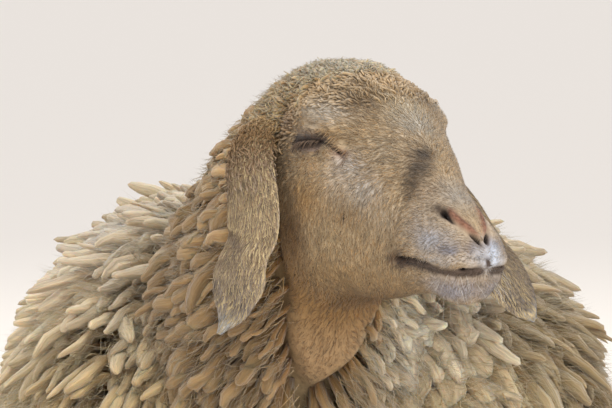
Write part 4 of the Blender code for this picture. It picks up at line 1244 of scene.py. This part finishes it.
def body_forms():
    """Every form but the head's: trunk, tail, haunches, limbs and ears."""
    outer, inner = trunk_grids()
    forms = {"trunk": Form(inner, outer, fleece_wish(outer, 0.30), wool_tint(inner), TRUNK_MAP)}
    outer, inner = (limb_grid(TAIL, 1, shrink, 30, 40) for shrink in (0.0, TAIL_DEPTH))
    forms["tail"] = Form(inner, outer, all_over((0, 0.1, -1.0), outer), wool_tint(outer), TAIL_MAP)
    for number, (word, side) in enumerate(SIDES.items()):
        left = 0.56 + 0.22 * number
        (out, forward, up), radii = HAUNCH
        centre = np.array((side * out, -forward, up)) + ROOM_ORIGIN
        outer, inner = (ball_grid(centre, np.array(radii) - shrink) for shrink in (0.0, HAUNCH_DEPTH))
        outer = uneven(outer, 0.12, 4, 0.004)
        forms[f"haunch_{word}"] = Form(inner, outer, fleece_wish(outer, 0.35), wool_tint(outer),
                                       (left, 0.30, left + 0.10, 0.41))
        for row, (limb, stops) in enumerate(LIMBS.items()):
            outer, inner = (limb_grid(stops, side, shrink, 34, 36) for shrink in (0.0, LIMB_HAIR))
            low = 0.02 + row * 0.068
            way = np.array(stops[-1][:3]) - np.array(stops[0][:3])
            wish = all_over((side * way[0], -way[1], way[2] - 0.05), outer)
            forms[f"{limb}_{word}"] = Form(inner, outer, wish, flat_tint(outer, LIMB_TINT),
                                           (left, low, left + 0.10, low + 0.06))
        outer, inner = ear_grids(word)
        wish = np.gradient(outer.mean(axis=1), axis=0)[:, None] * np.ones_like(outer)
        forms[f"ear_{word}"] = Form(inner, outer, wish, ear_tint(outer, side),
                                    (left + 0.11, 0.02, left + 0.21, 0.28))
    return forms


def fill_seams(mesh):
    """Colours the new points along the joins, which come out white, from their neighbours."""
    tint = np.empty(len(mesh.vertices) * 4, np.float32)
    mesh.color_attributes["tint"].data.foreach_get("color", tint)
    tint = tint.reshape(-1, 4)
    ends = np.empty(len(mesh.edges) * 2, np.int32)
    mesh.edges.foreach_get("vertices", ends)
    ends = np.concatenate([ends.reshape(-1, 2), ends.reshape(-1, 2)[:, ::-1]])
    known = tint[:, :3].min(axis=1) < 0.95
    for _ in range(6):
        use = ends[~known[ends[:, 0]] & known[ends[:, 1]]]
        total = np.zeros_like(tint)
        count = np.zeros(len(tint))
        np.add.at(total, use[:, 0], tint[use[:, 1]])
        np.add.at(count, use[:, 0], 1)
        found = count > 0
        tint[found] = total[found] / count[found, None]
        known |= found
    mesh.color_attributes["tint"].data.foreach_set("color", tint.ravel())
    mesh.update()


def make_skin(head, forms):
    """One closed skin: the forms' meshes united with exact Booleans."""
    skin = form_object("skin", head, HIDE)
    for name, form in forms.items():
        other = form_object(f"part_{name}", form, HIDE)
        modifier = skin.modifiers.new("join", "BOOLEAN")
        modifier.operation, modifier.solver, modifier.object = "UNION", "EXACT", other
        graph = bpy.context.evaluated_depsgraph_get()
        joined = bpy.data.meshes.new_from_object(skin.evaluated_get(graph))
        skin.modifiers.clear()
        skin.data = joined
        bpy.data.objects.remove(other)
    mesh = skin.data
    points = np.empty(len(mesh.vertices) * 3, np.float32)
    mesh.vertices.foreach_get("co", points)
    points[2::3] = np.maximum(points[2::3], FLOOR_GAP)
    mesh.vertices.foreach_set("co", points)
    fill_seams(mesh)
    return skin


def make_eye(word):
    """The ball of an eye: dark white, amber iris and a level slot of a pupil, its axis
    pointing outwards and a little forward and down."""
    gaze = unit(HEAD_LEFT * SIDES[word] * 0.93 + HEAD_FORWARD * 0.36 - np.array((0, 0, 0.05)))
    level = unit(np.cross((0, 0, 1), gaze))
    high = np.cross(gaze, level)
    polar = np.linspace(0.02, math.pi - 0.02, 56)[:, None]
    around = circle(64)[None]
    across, up = np.sin(polar) * np.cos(around), np.sin(polar) * np.sin(around)
    out = np.cos(polar) * np.ones_like(across)
    radius = EYE_RADIUS * (0.985 + 0.020 * bell(np.sin(polar), 0.55) * (out > 0))
    grid = (level * across[..., None] + high * up[..., None] + gaze * out[..., None]) * radius[..., None]
    away = np.hypot(across, up)
    slot = np.hypot(across / 0.40, up / 0.15)
    iris = (1 - ramp(away, 0.66, 0.72)) * (out > 0)
    tint = mix(all_over(EYE_WHITE, grid), EYE_AMBER, iris)
    tint = mix(tint, EYE_RING, iris * ramp(away, 0.58, 0.68))
    tint = mix(tint, EYE_SLOT, (1 - ramp(slot, 0.9, 1.08)) * (out > 0))
    form = Form(grid + EYES[word], grid * 1.01 + EYES[word], all_over((0, 0, -1), grid), tint, WHOLE_MAP)
    return form_object(f"eyeball_{word}", form, WET)


def make_claw(pair, word, which):
    """One claw: rounded rings from heel to toe, cut level at the floor."""
    sign = {"outer": 1, "inner": -1}[which]
    heel, way = FEET[pair]
    length, width, height = CLAW_SIZE
    forward = unit(np.array((way[0], way[1], 0.0)))
    lateral = np.array((abs(forward[1]), -forward[0] * math.copysign(1, forward[1]), 0))
    toe = unit(forward + lateral * 0.08 * sign)
    rows = even_rows(CLAW_RINGS, 28)
    rounded = [np.sign(turn) * np.abs(turn) ** CLAW_SQUARENESS
               for turn in (np.cos(circle(32)[None]), np.sin(circle(32)[None]))]
    across = rounded[0] * rows[:, 1:2] * width / 2
    over = rounded[1] * rows[:, 2:3] * height / 2
    start = np.array(heel) + lateral * sign * CLAW_SPREAD
    grid = start + (toe * (rows[:, :1] * length))[:, None] + lateral * across[..., None]
    grid[..., 2] += over + rows[:, 3:4]
    grid = grid * (SIDES[word], -1, 1) + ROOM_ORIGIN
    grid[..., 2] = np.maximum(grid[..., 2], CLAW_GAP)
    form = Form(grid, grid, all_over((0, 0, -1), grid), flat_tint(grid, CLAW_TINT, 0.2), WHOLE_MAP)
    return form_object(f"claw_{pair}_{word}_{which}", form, HORN)


# ---- the coat -------------------------------------------------------------------------------

STAPLE = (0, 0.14, 0.32, 0.52, 0.72, 0.88, 0.965, 1.0)  # shares of a wool lock's length
STAPLE_RISE = (0.05, 0.52, 0.84, 0.95, 0.99, 1.0, 0.99, 0.97)  # of the way to the coat's end
# Widths there, of a felted lock and of a loose one.
BLUNT = (0.62, 0.86, 0.97, 1.0, 1.0, 0.88, 0.58, 0.0)
SHARP = (0.76, 0.98, 1.0, 0.92, 0.76, 0.52, 0.30, 0.0)
LOCK_SPACING = {"trunk": 0.0148, "haunch_left": 0.0175, "haunch_right": 0.0175, "tail": 0.0140}
# Short hair beyond the head: form, spacing, length and width.
LIMB_HAIRS = (
    ("ear", 0.0018, 0.0050, 0.00060), ("ear", 0.0026, 0.0062, 0.0012),
    ("fore_lower", 0.0034, 0.007, 0.0011), ("fore_upper", 0.0045, 0.009, 0.0014),
    ("hind_lower", 0.0034, 0.007, 0.0011), ("hind_upper", 0.0045, 0.009, 0.0014),
)


def wool_batch(form, place, length, width, seed, blunt, stand, curl, turns=1.2, loose=0.16,
               root_shade=0.62, droop=0.004, columns=6, whirl=(0.045, 0.17), patchy=0.05,
               flatness=0.86):
    """Wool locks: out from the skin, over at the coat's end and along the lie, which whirls
    a little from place to place."""
    rng = np.random.default_rng(seed)
    count = len(place[0])
    tip = np.clip(rng.normal(stand, 0.12, (count, 1)), stand - 0.22, stand + 0.18) * np.array(STAPLE) ** 2.2
    low = rng.uniform(-0.24, 0.02, (count, 1))
    girth = np.array(SHARP) + (np.array(BLUNT) - np.array(SHARP)) * blunt
    turn = rng.normal(0, loose, count) + drift(form.read(form.outer, *place), whirl[0], seed + 5) * whirl[1]
    return tuft_batch(form, place, length, width, STAPLE, girth,
                      np.array(STAPLE_RISE)[None] * 0.92 + tip + low, seed + 1,
                      (root_shade, 1.18, 0.060, patchy), turn=turn, columns=columns, flatness=flatness,
                      curl=curl, turns=turns, ridges=0.20, swing=0.11, hook=0.09, droop=droop)


def wisp_batch(luck, form, place, length, width, seed, low, high, shade=1.1, curl=0.0015, bent=True,
               loose=0.55):
    """Fine wisps that lie loosely over the locks and stand a little out of them."""
    rng = np.random.default_rng(seed)
    count = len(place[0])
    length, width = varied(luck, count, length, 0.3), varied(luck, count, width, 0.3)
    shares, girth = ((0, 0.55, 1.0), (1.0, 0.7, 0.0)) if bent else ((0, 1.0), (1.0, 0.0))
    rise = low + (rng.normal(high, 0.10, (count, 1)) - low) * np.array(shares)
    return tuft_batch(form, place, length, width, shares, girth, rise, seed + 1,
                      (shade * 0.92, shade, 0.09, 0.0), turn=rng.normal(0, loose, count), columns=3,
                      flatness=0.7, curl=curl, turns=0.8, ridges=0.0, swing=0.16)


def hair_batch(form, place, length, width, lift, seed, loose=0.30):
    """Short hairs: straight tapering slips that lie along the skin."""
    rng = np.random.default_rng(seed)
    count = len(place[0])
    rise = np.stack([np.full(count, -0.1), lift * length / np.maximum(form.depth(place), 1e-4)], axis=1)
    return tuft_batch(form, place, length, width, (0, 1.0), (1.0, 0.0), rise, seed + 1,
                      (0.72, 1.22, 0.24, 0.24), turn=rng.normal(0, loose, count), columns=3,
                      flatness=0.5, ridges=0.0)


def outside(place, form, blockers):
    """Keeps the roots whose outer end lies outside the other forms' skins."""
    points = form.read(form.outer, *place)
    keep = np.ones(len(points), bool)
    for other in blockers:
        tree = other.tree()
        for index in np.nonzero(keep)[0]:
            found, normal = tree.find_nearest(Vector(points[index]), 0.12)[:2]
            if found is not None and (Vector(points[index]) - found).dot(normal) < 0:
                keep[index] = False
    return picked(place, keep)


def varied(rng, count, middle, spread):
    """Sizes about a middle value, between half of it and nearly twice."""
    return middle * np.clip(1 + rng.normal(0, spread, count), 0.5, 1.8)


def picked(place, chosen):
    """The chosen ones of some roots."""
    return place[0][chosen], place[1][chosen]


def fleece_locks(head, forms):
    """All the wool: on trunk, haunches and tail, then on neck and poll, each with wisps."""
    rng = np.random.default_rng(101)
    return (body_locks(rng, {"head": head, **forms}) + neck_locks(rng, head, forms["trunk"]))


def body_locks(rng, forms):
    """The fleece of trunk, haunches and tail: most locks lie flat, and the loose ones stand."""
    batches = []
    for number, (name, spacing) in enumerate(LOCK_SPACING.items()):
        form = forms[name]
        others = [forms[other] for other in ("head", *LOCK_SPACING) if other != name]
        under = ramp(form.outer[..., 2], 0.004, 0.02)
        front = 1 - ramp(form.outer[..., 1], -0.20, 0.05)
        place = outside(form.roots(spacing, (0.2 + 0.8 * under) * (0.68 + 0.32 * front)), form, others)
        root = form.read(form.outer, *place)
        high = ramp(root[:, 2], 0.24, 0.40)
        flank = ramp(root[:, 0], 0.10, 0.18) * (1 - ramp(root[:, 1], -0.10, 0.10))
        count = len(place[0])
        length = varied(rng, count, 0.060, 0.24) * (1 - 0.05 * high) * (1 + 0.35 * flank)
        width = varied(rng, count, 0.0138, 0.22) * (1 - 0.22 * flank)
        width = width * (1 + 0.16 * ramp(root[:, 1], -0.2, 0.05))
        if name == "tail":
            length, width = length * 0.8, width * 0.85
        breast = bell(np.linalg.norm((root - BREAST) / BREAST_REACH, axis=1), 1.0)
        length, width = length * (1 - 0.20 * breast), width * (1 + 0.35 * breast)
        loose = rng.uniform(size=count) < (0.20 + 0.70 * np.maximum(high, flank)) * (1 - 0.8 * breast)
        for chosen, blunt, stand, seed in ((~loose, 0.95, 0.06, 201), (loose, 0.32, 0.34, 202)):
            batches.append(wool_batch(form, picked(place, chosen), length[chosen], width[chosen],
                                      seed + 10 * number, blunt, stand - 0.16 * breast[chosen, None],
                                      0.0016, turns=1.5))
        for part, size, thick, seed, style in (
            (0.44, 0.018, 0.0007, 260, {"low": 0.94, "high": 1.16, "shade": 1.30, "curl": 0.0024,
                                        "loose": 0.45}),
            (0.31, 0.011, 0.0006, 270, {"low": 0.90, "high": 1.20, "shade": 1.25, "bent": False}),
        ):
            place = outside(form.roots(spacing * part, under * (0.10 + 0.90 * front)), form, others)
            batches.append(wisp_batch(rng, form, place, size, thick, seed + number, **style))
    return batches


def neck_locks(rng, head, trunk):
    """The neck's locks, shorter beside the throat, and the poll's small ones."""
    batches = []
    spot = head.wool * ramp(head.row, 0.8, 1.2)
    low_neck = spot * (1 - ramp(head.row, 4.9, 5.6))
    poll = spot * ramp(head.row, 4.9, 5.6)
    inward = wool_share(head.row, head.angle + math.radians(32), ragged=0.0)
    for spacing, chosen, length, width, blunt, stand, seed in (
        (0.0130, spot * (1 - ramp(head.row, 2.4, 3.0)), 0.050, 0.0112, 0.95, 0.06, 301),
        (0.0118, low_neck * ramp(head.row, 2.4, 3.0), 0.040, 0.0118, 0.75, 0.14, 311),
    ):
        place = outside(head.roots(spacing, chosen), head, [trunk])
        count = len(place[0])
        share = 0.62 + 0.38 * head.read(inward, *place)
        left = ramp(head.read(head.outer, *place)[:, :1], 0.0, 0.05)
        length = varied(rng, count, length, 0.22) * share
        width = varied(rng, count, width, 0.24) * share**0.7
        batches.append(wool_batch(head, place, length, width, seed, blunt, stand - 0.16 * left, 0.0022,
                                  loose=0.22))
    for spacing, length, seed, style in (
        (0.0070, 0.016, 341, {"low": 0.92, "high": 1.16, "shade": 1.25, "curl": 0.0020, "loose": 0.45}),
        (0.0044, 0.010, 345, {"low": 0.88, "high": 1.14, "bent": False}),
    ):
        place = outside(head.roots(spacing, low_neck), head, [trunk])
        batches.append(wisp_batch(rng, head, place, length, 0.0007, seed, **style))
    for spacing, length, width, stand, curl, columns, seed in (
        (0.0044, 0.015, 0.0042, 0.02, 0.0010, 5, 351), (0.0030, 0.012, 0.0017, 0.14, 0.0012, 4, 361),
    ):
        place = head.roots(spacing, poll)
        count = len(place[0])
        length, width = varied(rng, count, length, 0.22), varied(rng, count, width, 0.22)
        batches.append(wool_batch(head, place, length, width, seed, 0.3, stand, curl, turns=1.1, droop=0.0,
                                  root_shade=0.6, loose=0.30, columns=columns, whirl=(0.013, 1.1),
                                  patchy=0.22, flatness=0.5))
    place = head.roots(0.0028, poll)
    batches.append(wisp_batch(rng, head, place, 0.009, 0.0006, 381, low=0.7, high=1.25, curl=0.002))
    return batches


def curl_zone(head):
    """Where small curls grow through the forehead's short hair: its top, behind the brows."""
    edge = np.interp(head.row, (6.4, 7.0, 7.6, 8.2, 8.8, 9.3, 9.6), (84, 72, 64, 58, 48, 24, 0))
    angle = np.degrees(np.minimum(head.angle, 2 * math.pi - head.angle))
    return ramp(edge - angle, -6, 16) * (1 - head.wool)


def small_curls(head, forms):
    """Short curls over the forehead and on the ears' roots."""
    rng = np.random.default_rng(103)
    batches = []
    shares = (0, 0.3, 0.65, 1.0)
    sites = [(head, 0.0025, curl_zone(head) * (1 - 0.8 * ramp(head.row, 8.6, 9.6)), 0.0080, 0.0019, 501)]
    for word, side in SIDES.items():
        ear = forms[f"ear_{word}"]
        sites.append((ear, 0.0022, ear_root(ear), 0.0085, 0.0011, 511 + side))
    for form, spacing, where, length, width, seed in sites:
        place = form.roots(spacing, where)
        count = len(place[0])
        height = varied(rng, count, 0.0014, 0.3)[:, None] / form.depth(place)[:, None]
        length, width = varied(rng, count, length, 0.25), varied(rng, count, width, 0.25)
        turn = rng.normal(0, 0.30, count) + drift(form.read(form.inner, *place), 0.013, seed + 3) * 1.1
        batches.append(tuft_batch(form, place, length, width, shares, (0.8, 1.0, 0.75, 0.0),
                                  height * np.array((-0.1, 0.8, 1.1, 0.8)), seed,
                                  (0.60, 1.16, 0.10, 0.24), turn=turn, columns=4, flatness=0.5,
                                  curl=0.0006, swing=0.25))
    return batches


def ear_root(form):
    """1 over the top of an ear, fading a quarter of the way down."""
    share = np.linspace(0, 1, form.rings)[:, None] * np.ones((1, form.columns))
    return 1 - ramp(share, 0.12, 0.34)


def short_hairs(head, forms):
    """Short hair of face, throat, ears and legs."""
    rng = np.random.default_rng(102)
    batches = []
    muzzle = ramp(head.row, 10.0, 12.5)
    place = in_head(head.inner)
    place[..., 1] = np.abs(place[..., 1])
    kept = (1 - head.wool) * ramp(head.row, 1.2, 1.6)
    closed = np.ones_like(kept)
    slit = [(ahead, out, slit_up(ahead)) for ahead, out in
            ((SLIT_ENDS[0], 0.056), (-0.013, 0.059), (SLIT_ENDS[1], 0.054))]
    for line, sideways, reach in ((SKIN_LINES["nostril"][0], 1.0, 0.0042),
                                  (SKIN_LINES["mouth"][0], 0.6, 0.0020), (slit, 0.2, 0.0030)):
        closed *= ramp(line_distance(place, line, sideways), reach * 0.8, reach * 1.4)
    thin = 1 - ramp(head.row, 4.5, 6.0)
    for spacing, size, width, lift, seed in ((0.00165, 0.0052, 0.00062, 0.26, 401),
                                             (0.00235, 0.0072, 0.00115, 0.15, 411)):
        roots = head.roots(spacing * (1 - 0.22 * muzzle + 0.7 * thin), kept * closed)
        count = len(roots[0])
        near = head.read(muzzle, *roots)
        batches.append(hair_batch(head, roots, size * (1 - 0.52 * near) * rng.uniform(0.7, 1.3, count),
                                  width * (1 - 0.35 * near) * rng.uniform(0.8, 1.2, count), lift, seed))
    for number, word in enumerate(SIDES):
        for name, spacing, size, width in LIMB_HAIRS:
            form = forms[f"{name}_{word}"]
            roots = form.roots(spacing, np.ones((form.rings, form.columns)))
            count = len(roots[0])
            batches.append(hair_batch(form, roots, size * rng.uniform(0.7, 1.3, count),
                                      np.full(count, width), 0.20, 430 + number, loose=0.22))
    return batches


def strand_batch(line, width, tint, across, up):
    """Single long hairs round given centre lines, (hairs, rings, 3), which narrow to a point."""
    count, rings = line.shape[:2]
    way = unit(np.gradient(line, axis=1))
    side = unit(np.cross(way, (0.0, 0.0, 1.0)))
    facing = np.cross(side, way)
    angle = circle(3)
    reach = (width * np.linspace(1, 0.25, rings)[None])[..., None, None] / 2
    ring = side[:, :, None] * np.cos(angle)[:, None] - facing[:, :, None] * np.sin(angle)[:, None]
    length = np.linalg.norm(np.diff(line, axis=1), axis=2).sum(axis=1)
    return (line[:, :, None] + ring * reach, np.tile(np.array(tint), (count, rings, 1)), across, up,
            length, np.full(count, width))


DARK_LASH, LIGHT_LASH = (0.040, 0.026, 0.019), (0.185, 0.125, 0.085)
# Upper lashes (1) and lower ones (-1): how many, from where to where along the slit, length,
# droop, how far they stand out, and colour.
LASHES = (
    (1, 110, -0.0330, 0.0060, 0.0090, 0.0082, 0.0044, DARK_LASH),
    (1, 44, -0.0310, 0.0020, 0.0080, 0.0072, 0.0054, LIGHT_LASH),
    (-1, 18, -0.0270, -0.0040, 0.0032, 0.0016, 0.0024, DARK_LASH),
)
LASH_WIDTH = 0.00036
WHISKERS = 17  # on each side
WHISKER_WIDTH = 0.00030
WHISKER_TINT = (0.62, 0.58, 0.52)


def lashes_and_whiskers(head):
    """Dark lashes that hang over the slit of each eye, and a few stiff hairs on chin and lips."""
    rng = np.random.default_rng(104)
    batches = []
    shares = np.linspace(0, 1, 4)
    radius = EYE_RADIUS + LID_THICKNESS
    for side in SIDES.values():
        for sign, count, low, high, length, drop, out, tint in LASHES:
            forward = np.sort(rng.uniform(low, high, count))
            up = slit_up(forward) + sign * 0.0012 - EYE_PLACE[2]
            ahead = forward - EYE_PLACE[0]
            outward = np.sqrt(np.maximum(radius**2 - ahead**2 - up**2, 1e-6))
            root = np.stack([forward, side * (EYE_PLACE[1] + outward * 0.99), up + EYE_PLACE[2]], axis=-1)
            grow = rng.uniform(0.75, 1.2, (count, 1)) * shares
            fan = rng.normal(0, 0.0008, (count, 1)) * shares + (forward[:, None] + 0.012) * 0.10 * shares
            fall = -sign * 0.1 * length * grow - drop * grow**1.6 * (sign > 0)
            back = -0.34 * length * grow + fan
            line = root[:, None] + np.stack([back, side * out * grow**0.8, fall], axis=-1)
            batches.append(strand_batch(EYE_LINE + from_head(line), LASH_WIDTH, tint,
                                        np.full(count, 0.30), np.full(count, 0.72)))
    half = HEAD_COLUMNS // 2 + 1
    for side in SIDES.values():
        row, angle = rng.uniform(12.6, 15.0, WHISKERS), rng.uniform(96, 168, WHISKERS)
        ring = np.interp(row, head.row[:, 0], np.arange(head.rings))
        column = np.array([np.interp(a, np.degrees(head.angle[r, :half]), np.arange(half))
                           for r, a in zip(np.round(ring).astype(int), angle)])
        column = column if side > 0 else HEAD_COLUMNS - column
        root, normal = head.read(head.inner, ring, column), head.read(head.normal, ring, column)
        length = rng.uniform(0.010, 0.022, (WHISKERS, 1))
        way = unit(normal * 0.8 + HEAD_FORWARD * 0.15 - np.array((0, 0, 0.5))
                   + rng.normal(0, 0.2, (WHISKERS, 3)))
        line = root[:, None] + way[:, None] * (length * shares)[..., None]
        line[..., 2] -= 0.22 * length * shares**2
        batches.append(strand_batch(line, WHISKER_WIDTH, WHISKER_TINT, *head.flat_place(ring, column)))
    return batches


def dress(skin, pieces, nodes):
    """Everything rides on the one body; the skin stands for the nodes of flesh."""
    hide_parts(*nodes)
    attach(skin, "root")
    for piece, slot in pieces:
        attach(piece, "root")


FLOOR_REACH, FLOOR_SQUARES = 40, 40
# Each light: name, place, size, power and colour.
LIGHTS = (
    ("key", (-0.35, -1.7, 2.7), 1.5, 33, (1.0, 0.97, 0.92)),
    ("fill", (1.3, -2.2, 1.0), 2.0, 18, (1.0, 0.97, 0.93)),
    ("rim", (0.3, 2.2, 2.4), 2.0, 22, (1.0, 0.98, 0.95)),
)
LIT_PLACE = (0, -0.2, 0.35)
CAMERA_WAY = (math.radians(-4), math.radians(5))  # azimuth from the front, and elevation
CAMERA_REACH = 2.6
CAMERA_LENS = 198.8
AIM_LEFT, AIM_LOW = 0.0562, 0.0523  # from the eye line to what the camera looks at


def aimed(name, data, at, way):
    """A light or camera at a place, facing along a direction."""
    obj = placed(name, data)
    obj.location = at
    obj.rotation_mode = "QUATERNION"
    obj.rotation_quaternion = way.to_track_quat("-Z", "Y")
    return obj


def make_stage():
    """A wide pale floor, soft lights, and the camera, which looks at a point beside and below
    the eyes."""
    scene = bpy.context.scene
    scene.view_settings.view_transform = "Standard"
    squares = FLOOR_SQUARES
    x, y = np.meshgrid(*[np.linspace(-1, 1, squares + 1) * FLOOR_REACH] * 2, indexing="ij")
    points = np.stack([x, y, np.zeros_like(x)], axis=-1).reshape(-1, 3)
    row, column = np.meshgrid(np.arange(squares), np.arange(squares), indexing="ij")
    corner = row * (squares + 1) + column
    corners = np.stack([corner, corner + squares + 1, corner + squares + 2, corner + 1], axis=-1).ravel()
    plain = new_material("plain_floor", {"Base Color": (0.90, 0.85, 0.77, 1), "Roughness": 0.9})[0]
    make_mesh("floor", points, corners, np.full(squares**2, 4), plain)
    scene.world = bpy.data.worlds.new("studio")
    scene.world.use_nodes = True
    sky = scene.world.node_tree.nodes["Background"].inputs
    sky["Color"].default_value = (0.98, 0.97, 1.0, 1)
    sky["Strength"].default_value = 0.92
    for name, at, size, power, colour in LIGHTS:
        light = bpy.data.lights.new(name, "AREA")
        light.shape, light.size, light.energy, light.color = "DISK", size, power, colour
        aimed(name, light, at, Vector(LIT_PLACE) - Vector(at))
    azimuth, elevation = CAMERA_WAY
    back = Vector((math.sin(azimuth) * math.cos(elevation), -math.cos(azimuth) * math.cos(elevation),
                   math.sin(elevation)))
    right = Vector((math.cos(azimuth), math.sin(azimuth), 0))
    target = Vector(EYE_LINE) - right * AIM_LEFT - back.cross(right) * AIM_LOW
    camera = bpy.data.cameras.new("camera")
    camera.sensor_width = 36
    camera.lens = CAMERA_LENS
    scene.camera = aimed("camera", camera, target + back * CAMERA_REACH, -back)


def main():
    make_stage()
    head, forms = head_form(), body_forms()
    skin = make_skin(head, forms)
    pieces = []
    for word in SIDES:
        eye = make_eye(word)
        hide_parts(f"eye_{word}")
        pieces.append((eye, "eye_dark"))
        for pair in FEET:
            for which in ("outer", "inner"):
                claw = make_claw(pair, word, which)
                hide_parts(f"hoof_{pair}_{word}_{which}")
                pieces.append((claw, "hoof_horn"))
    hairs = short_hairs(head, forms) + small_curls(head, forms)
    pieces += [(piece, "face_hair") for piece in tuft_objects("hair", hairs, HAIR)]
    pieces += [(piece, "face_hair") for piece in tuft_objects("lashes", lashes_and_whiskers(head), BRISTLE)]
    locks = tuft_objects("wool", fleece_locks(head, forms), WOOL)
    pieces += [(piece, "fleece_wool") for piece in locks]
    flesh = ["head", "neck", "trunk", "tail"] + [
        f"{part}_{word}" for part in ("fore_leg", "hind_leg", "ear") for word in SIDES]
    dress(skin, pieces, flesh)


main()
